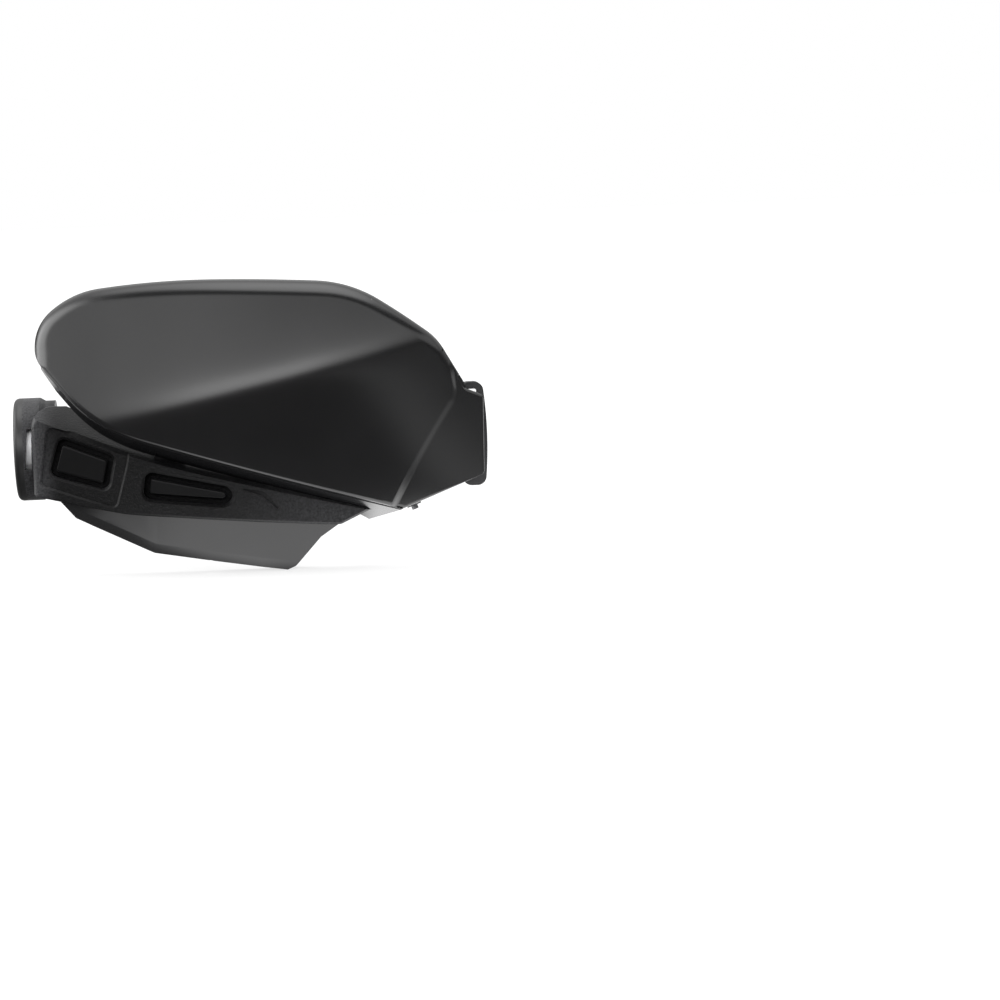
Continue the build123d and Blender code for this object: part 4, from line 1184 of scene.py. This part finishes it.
@dataclass(frozen=True)
class Studio:
    """Floor, light and camera.

    Attributes:
        floor_z: Height of the floor.
        floor_half: Half of the floor's side.
        floor_grey: Colour of the floor that takes the shadow.
        floor_glow: Brightness that the camera sees besides.
        camera_at: Place of the camera.
        yaw: Turn of the camera towards +X, in degrees.
        pitch: Look down, in degrees.
        roll: Roll of the camera, in degrees.
        lens: Focal length in millimetres.
        sensor: Width of the sensor in millimetres.
        sky: Light by direction: front wall and ceiling, rear wall and ceiling, front box, left rear box.
        ground: Brightness of the floor in reflections, in metres: in front of the lip, below the inner end,
            right of the object, behind it.
    """

    floor_z: float = -0.0686
    floor_half: float = 30.0
    floor_grey: float = 0.3
    floor_glow: float = 0.72
    camera_at: Triple = (0.106209, -1.8869, 0.134476)
    yaw: float = 4.31
    pitch: float = 5.29
    roll: float = 2.2
    lens: float = 120.0
    sensor: float = 36.0
    sky: tuple[Glow, ...] = (
        Glow(y=IN_FRONT, z=((0.0, 0.08), (0.19, 0.1), (0.28, 1.3), (0.64, 1.4), (0.70, 0.1), (0.86, 0.1),
                            (0.94, 3.4), (1.0, 3.6))),
        Glow(y=BEHIND, z=((0.0, 0.1), (0.12, 0.12), (0.32, 0.8), (0.75, 0.9), (0.92, 2.4), (1.0, 3.6))),
        Glow(x=((-0.85, 0.0), (-0.72, 0.35), (-0.5, 1.0), (-0.1, 1.0), (0.16, 0.4), (0.4, 0.0)), y=IN_FRONT,
             z=((0.08, 0.0), (0.2, 3.6), (0.42, 3.6), (0.53, 0.4), (0.64, 0.3), (0.7, 0.0))),
        Glow(x=((-1.0, 3.2), (-0.8, 3.2), (-0.6, 0.0)), y=((-0.22, 0.0), (0.05, 1.0))),
    )
    ground: tuple[Glow, ...] = (
        Glow(x=((-0.04, 0.0), (-0.01, 0.5), (0.07, 1.0), (0.155, 1.0), (0.175, 0.0)),
             y=((-0.2, 0.0), (-0.13, 0.1), (-0.112, 2.3), (-0.066, 2.3), (-0.055, 0.2), (0.02, 0.2))),
        Glow(x=((0.155, 0.0), (0.175, 1.0), (0.235, 1.0), (0.265, 0.0)),
             y=((-0.135, 0.0), (-0.11, 3.2), (0.03, 3.2), (0.1, 0.3))),
        Glow(x=((0.255, 0.0), (0.3, 0.8), (0.33, 0.6), (0.38, 0.2))),
        Glow(y=((-0.1, 0.1), (0.08, 0.15), (0.15, 1.0))),
    )

    def build(self) -> None:
        """Make the floor, the world and the camera."""
        self._floor()
        self._world()
        self._camera()

    def _brightness(self, tree: Tree, coordinate: str, glows: Sequence[Glow]) -> Socket:
        """Sum patches of light.

        Args:
            tree: Node tree to add to.
            coordinate: Name of the texture coordinate to use.
            glows: Patches of light.

        Returns:
            Socket with the brightness.
        """
        split = add_node(tree, "SeparateXYZ", {0: add_node(tree, "TexCoord", {}).outputs[coordinate]})
        return combined(tree, "ADD", [glow.add(tree, split) for glow in glows])

    def _by_camera(self, tree: Tree, lit: Node, shown: Node, out: str) -> None:
        """Show one shader to the camera and use another for light and reflections.

        Args:
            tree: Node tree to add to.
            lit: Shader for light and reflections.
            shown: Shader that the camera sees.
            out: Type of the output node.
        """
        seen = add_node(tree, "LightPath", {}).outputs["Is Camera Ray"]
        mix = add_node(tree, "MixShader", {"Fac": seen, 1: lit.outputs[0], 2: shown.outputs[0]})
        add_node(tree, out, {"Surface": mix.outputs[0]})

    def _floor(self) -> None:
        """A floor that shows white with a faint shadow; reflections see its patches of light."""
        half = self.floor_half
        corners = [(x * half, y * half, self.floor_z) for x, y in ((-1, -1), (1, -1), (1, 1), (-1, 1))]
        mesh = bpy.data.meshes.new("floor")
        mesh.from_pydata(corners, [], [(0, 1, 2, 3)])
        floor = add_object("floor", mesh)
        made = bpy.data.materials.new("floor_white")
        made.use_nodes = True
        tree = made.node_tree
        tree.nodes.clear()
        grey = (self.floor_grey, self.floor_grey, self.floor_grey, 1.0)
        matte = add_node(tree, "BsdfDiffuse", {"Color": grey})
        white = add_node(tree, "Emission", {"Strength": self.floor_glow})
        shown = add_node(tree, "AddShader", {0: matte.outputs[0], 1: white.outputs[0]})
        lit = add_node(tree, "Emission", {"Strength": self._brightness(tree, "Object", self.ground)})
        self._by_camera(tree, lit, shown, "OutputMaterial")
        mesh.materials.append(made)

    def _world(self) -> None:
        """Soft light by direction; plain white for the camera."""
        world = bpy.data.worlds.new("studio")
        bpy.context.scene.world = world
        world.use_nodes = True
        tree = world.node_tree
        tree.nodes.clear()
        white = (1.0, 1.0, 1.0, 1.0)
        bright = self._brightness(tree, "Generated", self.sky)
        lit = add_node(tree, "Background", {"Color": white, "Strength": bright})
        shown = add_node(tree, "Background", {"Color": white})
        self._by_camera(tree, lit, shown, "OutputWorld")

    def _camera(self) -> None:
        """Place the camera at the viewing angle of the photograph."""
        yaw, pitch, turn = (math.radians(v) for v in (self.yaw, self.pitch, self.roll))
        forward = Vector((math.sin(yaw) * math.cos(pitch), math.cos(yaw) * math.cos(pitch), -math.sin(pitch)))
        level = Vector((math.cos(yaw), -math.sin(yaw), 0.0))
        upright = level.cross(forward)
        right = math.cos(turn) * level - math.sin(turn) * upright
        up = math.cos(turn) * upright + math.sin(turn) * level
        data = bpy.data.cameras.new("camera")
        data.lens = self.lens
        data.sensor_width = self.sensor
        camera = add_object("camera", data)
        axes = Matrix((right, up, -forward)).transposed()
        camera.matrix_world = Matrix.Translation(self.camera_at) @ axes.to_4x4()
        bpy.context.scene.camera = camera


def main() -> None:
    """Dress the object and set up the studio."""
    logging.basicConfig(level=logging.INFO)
    bpy.context.scene.view_settings.view_transform = "Standard"
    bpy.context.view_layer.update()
    arm = ArmSizes()
    dresser = Dresser(arm)
    faces = {"carrier": (Face.ARM,), "lower_deflector": (Face.LIP, Face.OUTER_FACET, Face.INNER_FACET)}
    skins = {"main_shield": Shield(ShieldSizes()).build()}
    for node, sizes in PLATES.items():
        skins[node] = Plate(node, sizes, arm).build()
    made = []
    for node in NODE_FINISH:
        if node in skins:
            made += dresser.skinned(node, skins[node])
        else:
            made.append(dresser.smooth_copy(node, faces.get(node, ())))
    for piece in made:
        LOG.info("%s: %d vertices", piece.name, len(piece.data.vertices))
    Studio().build()


if __name__ == "__main__":
    main()
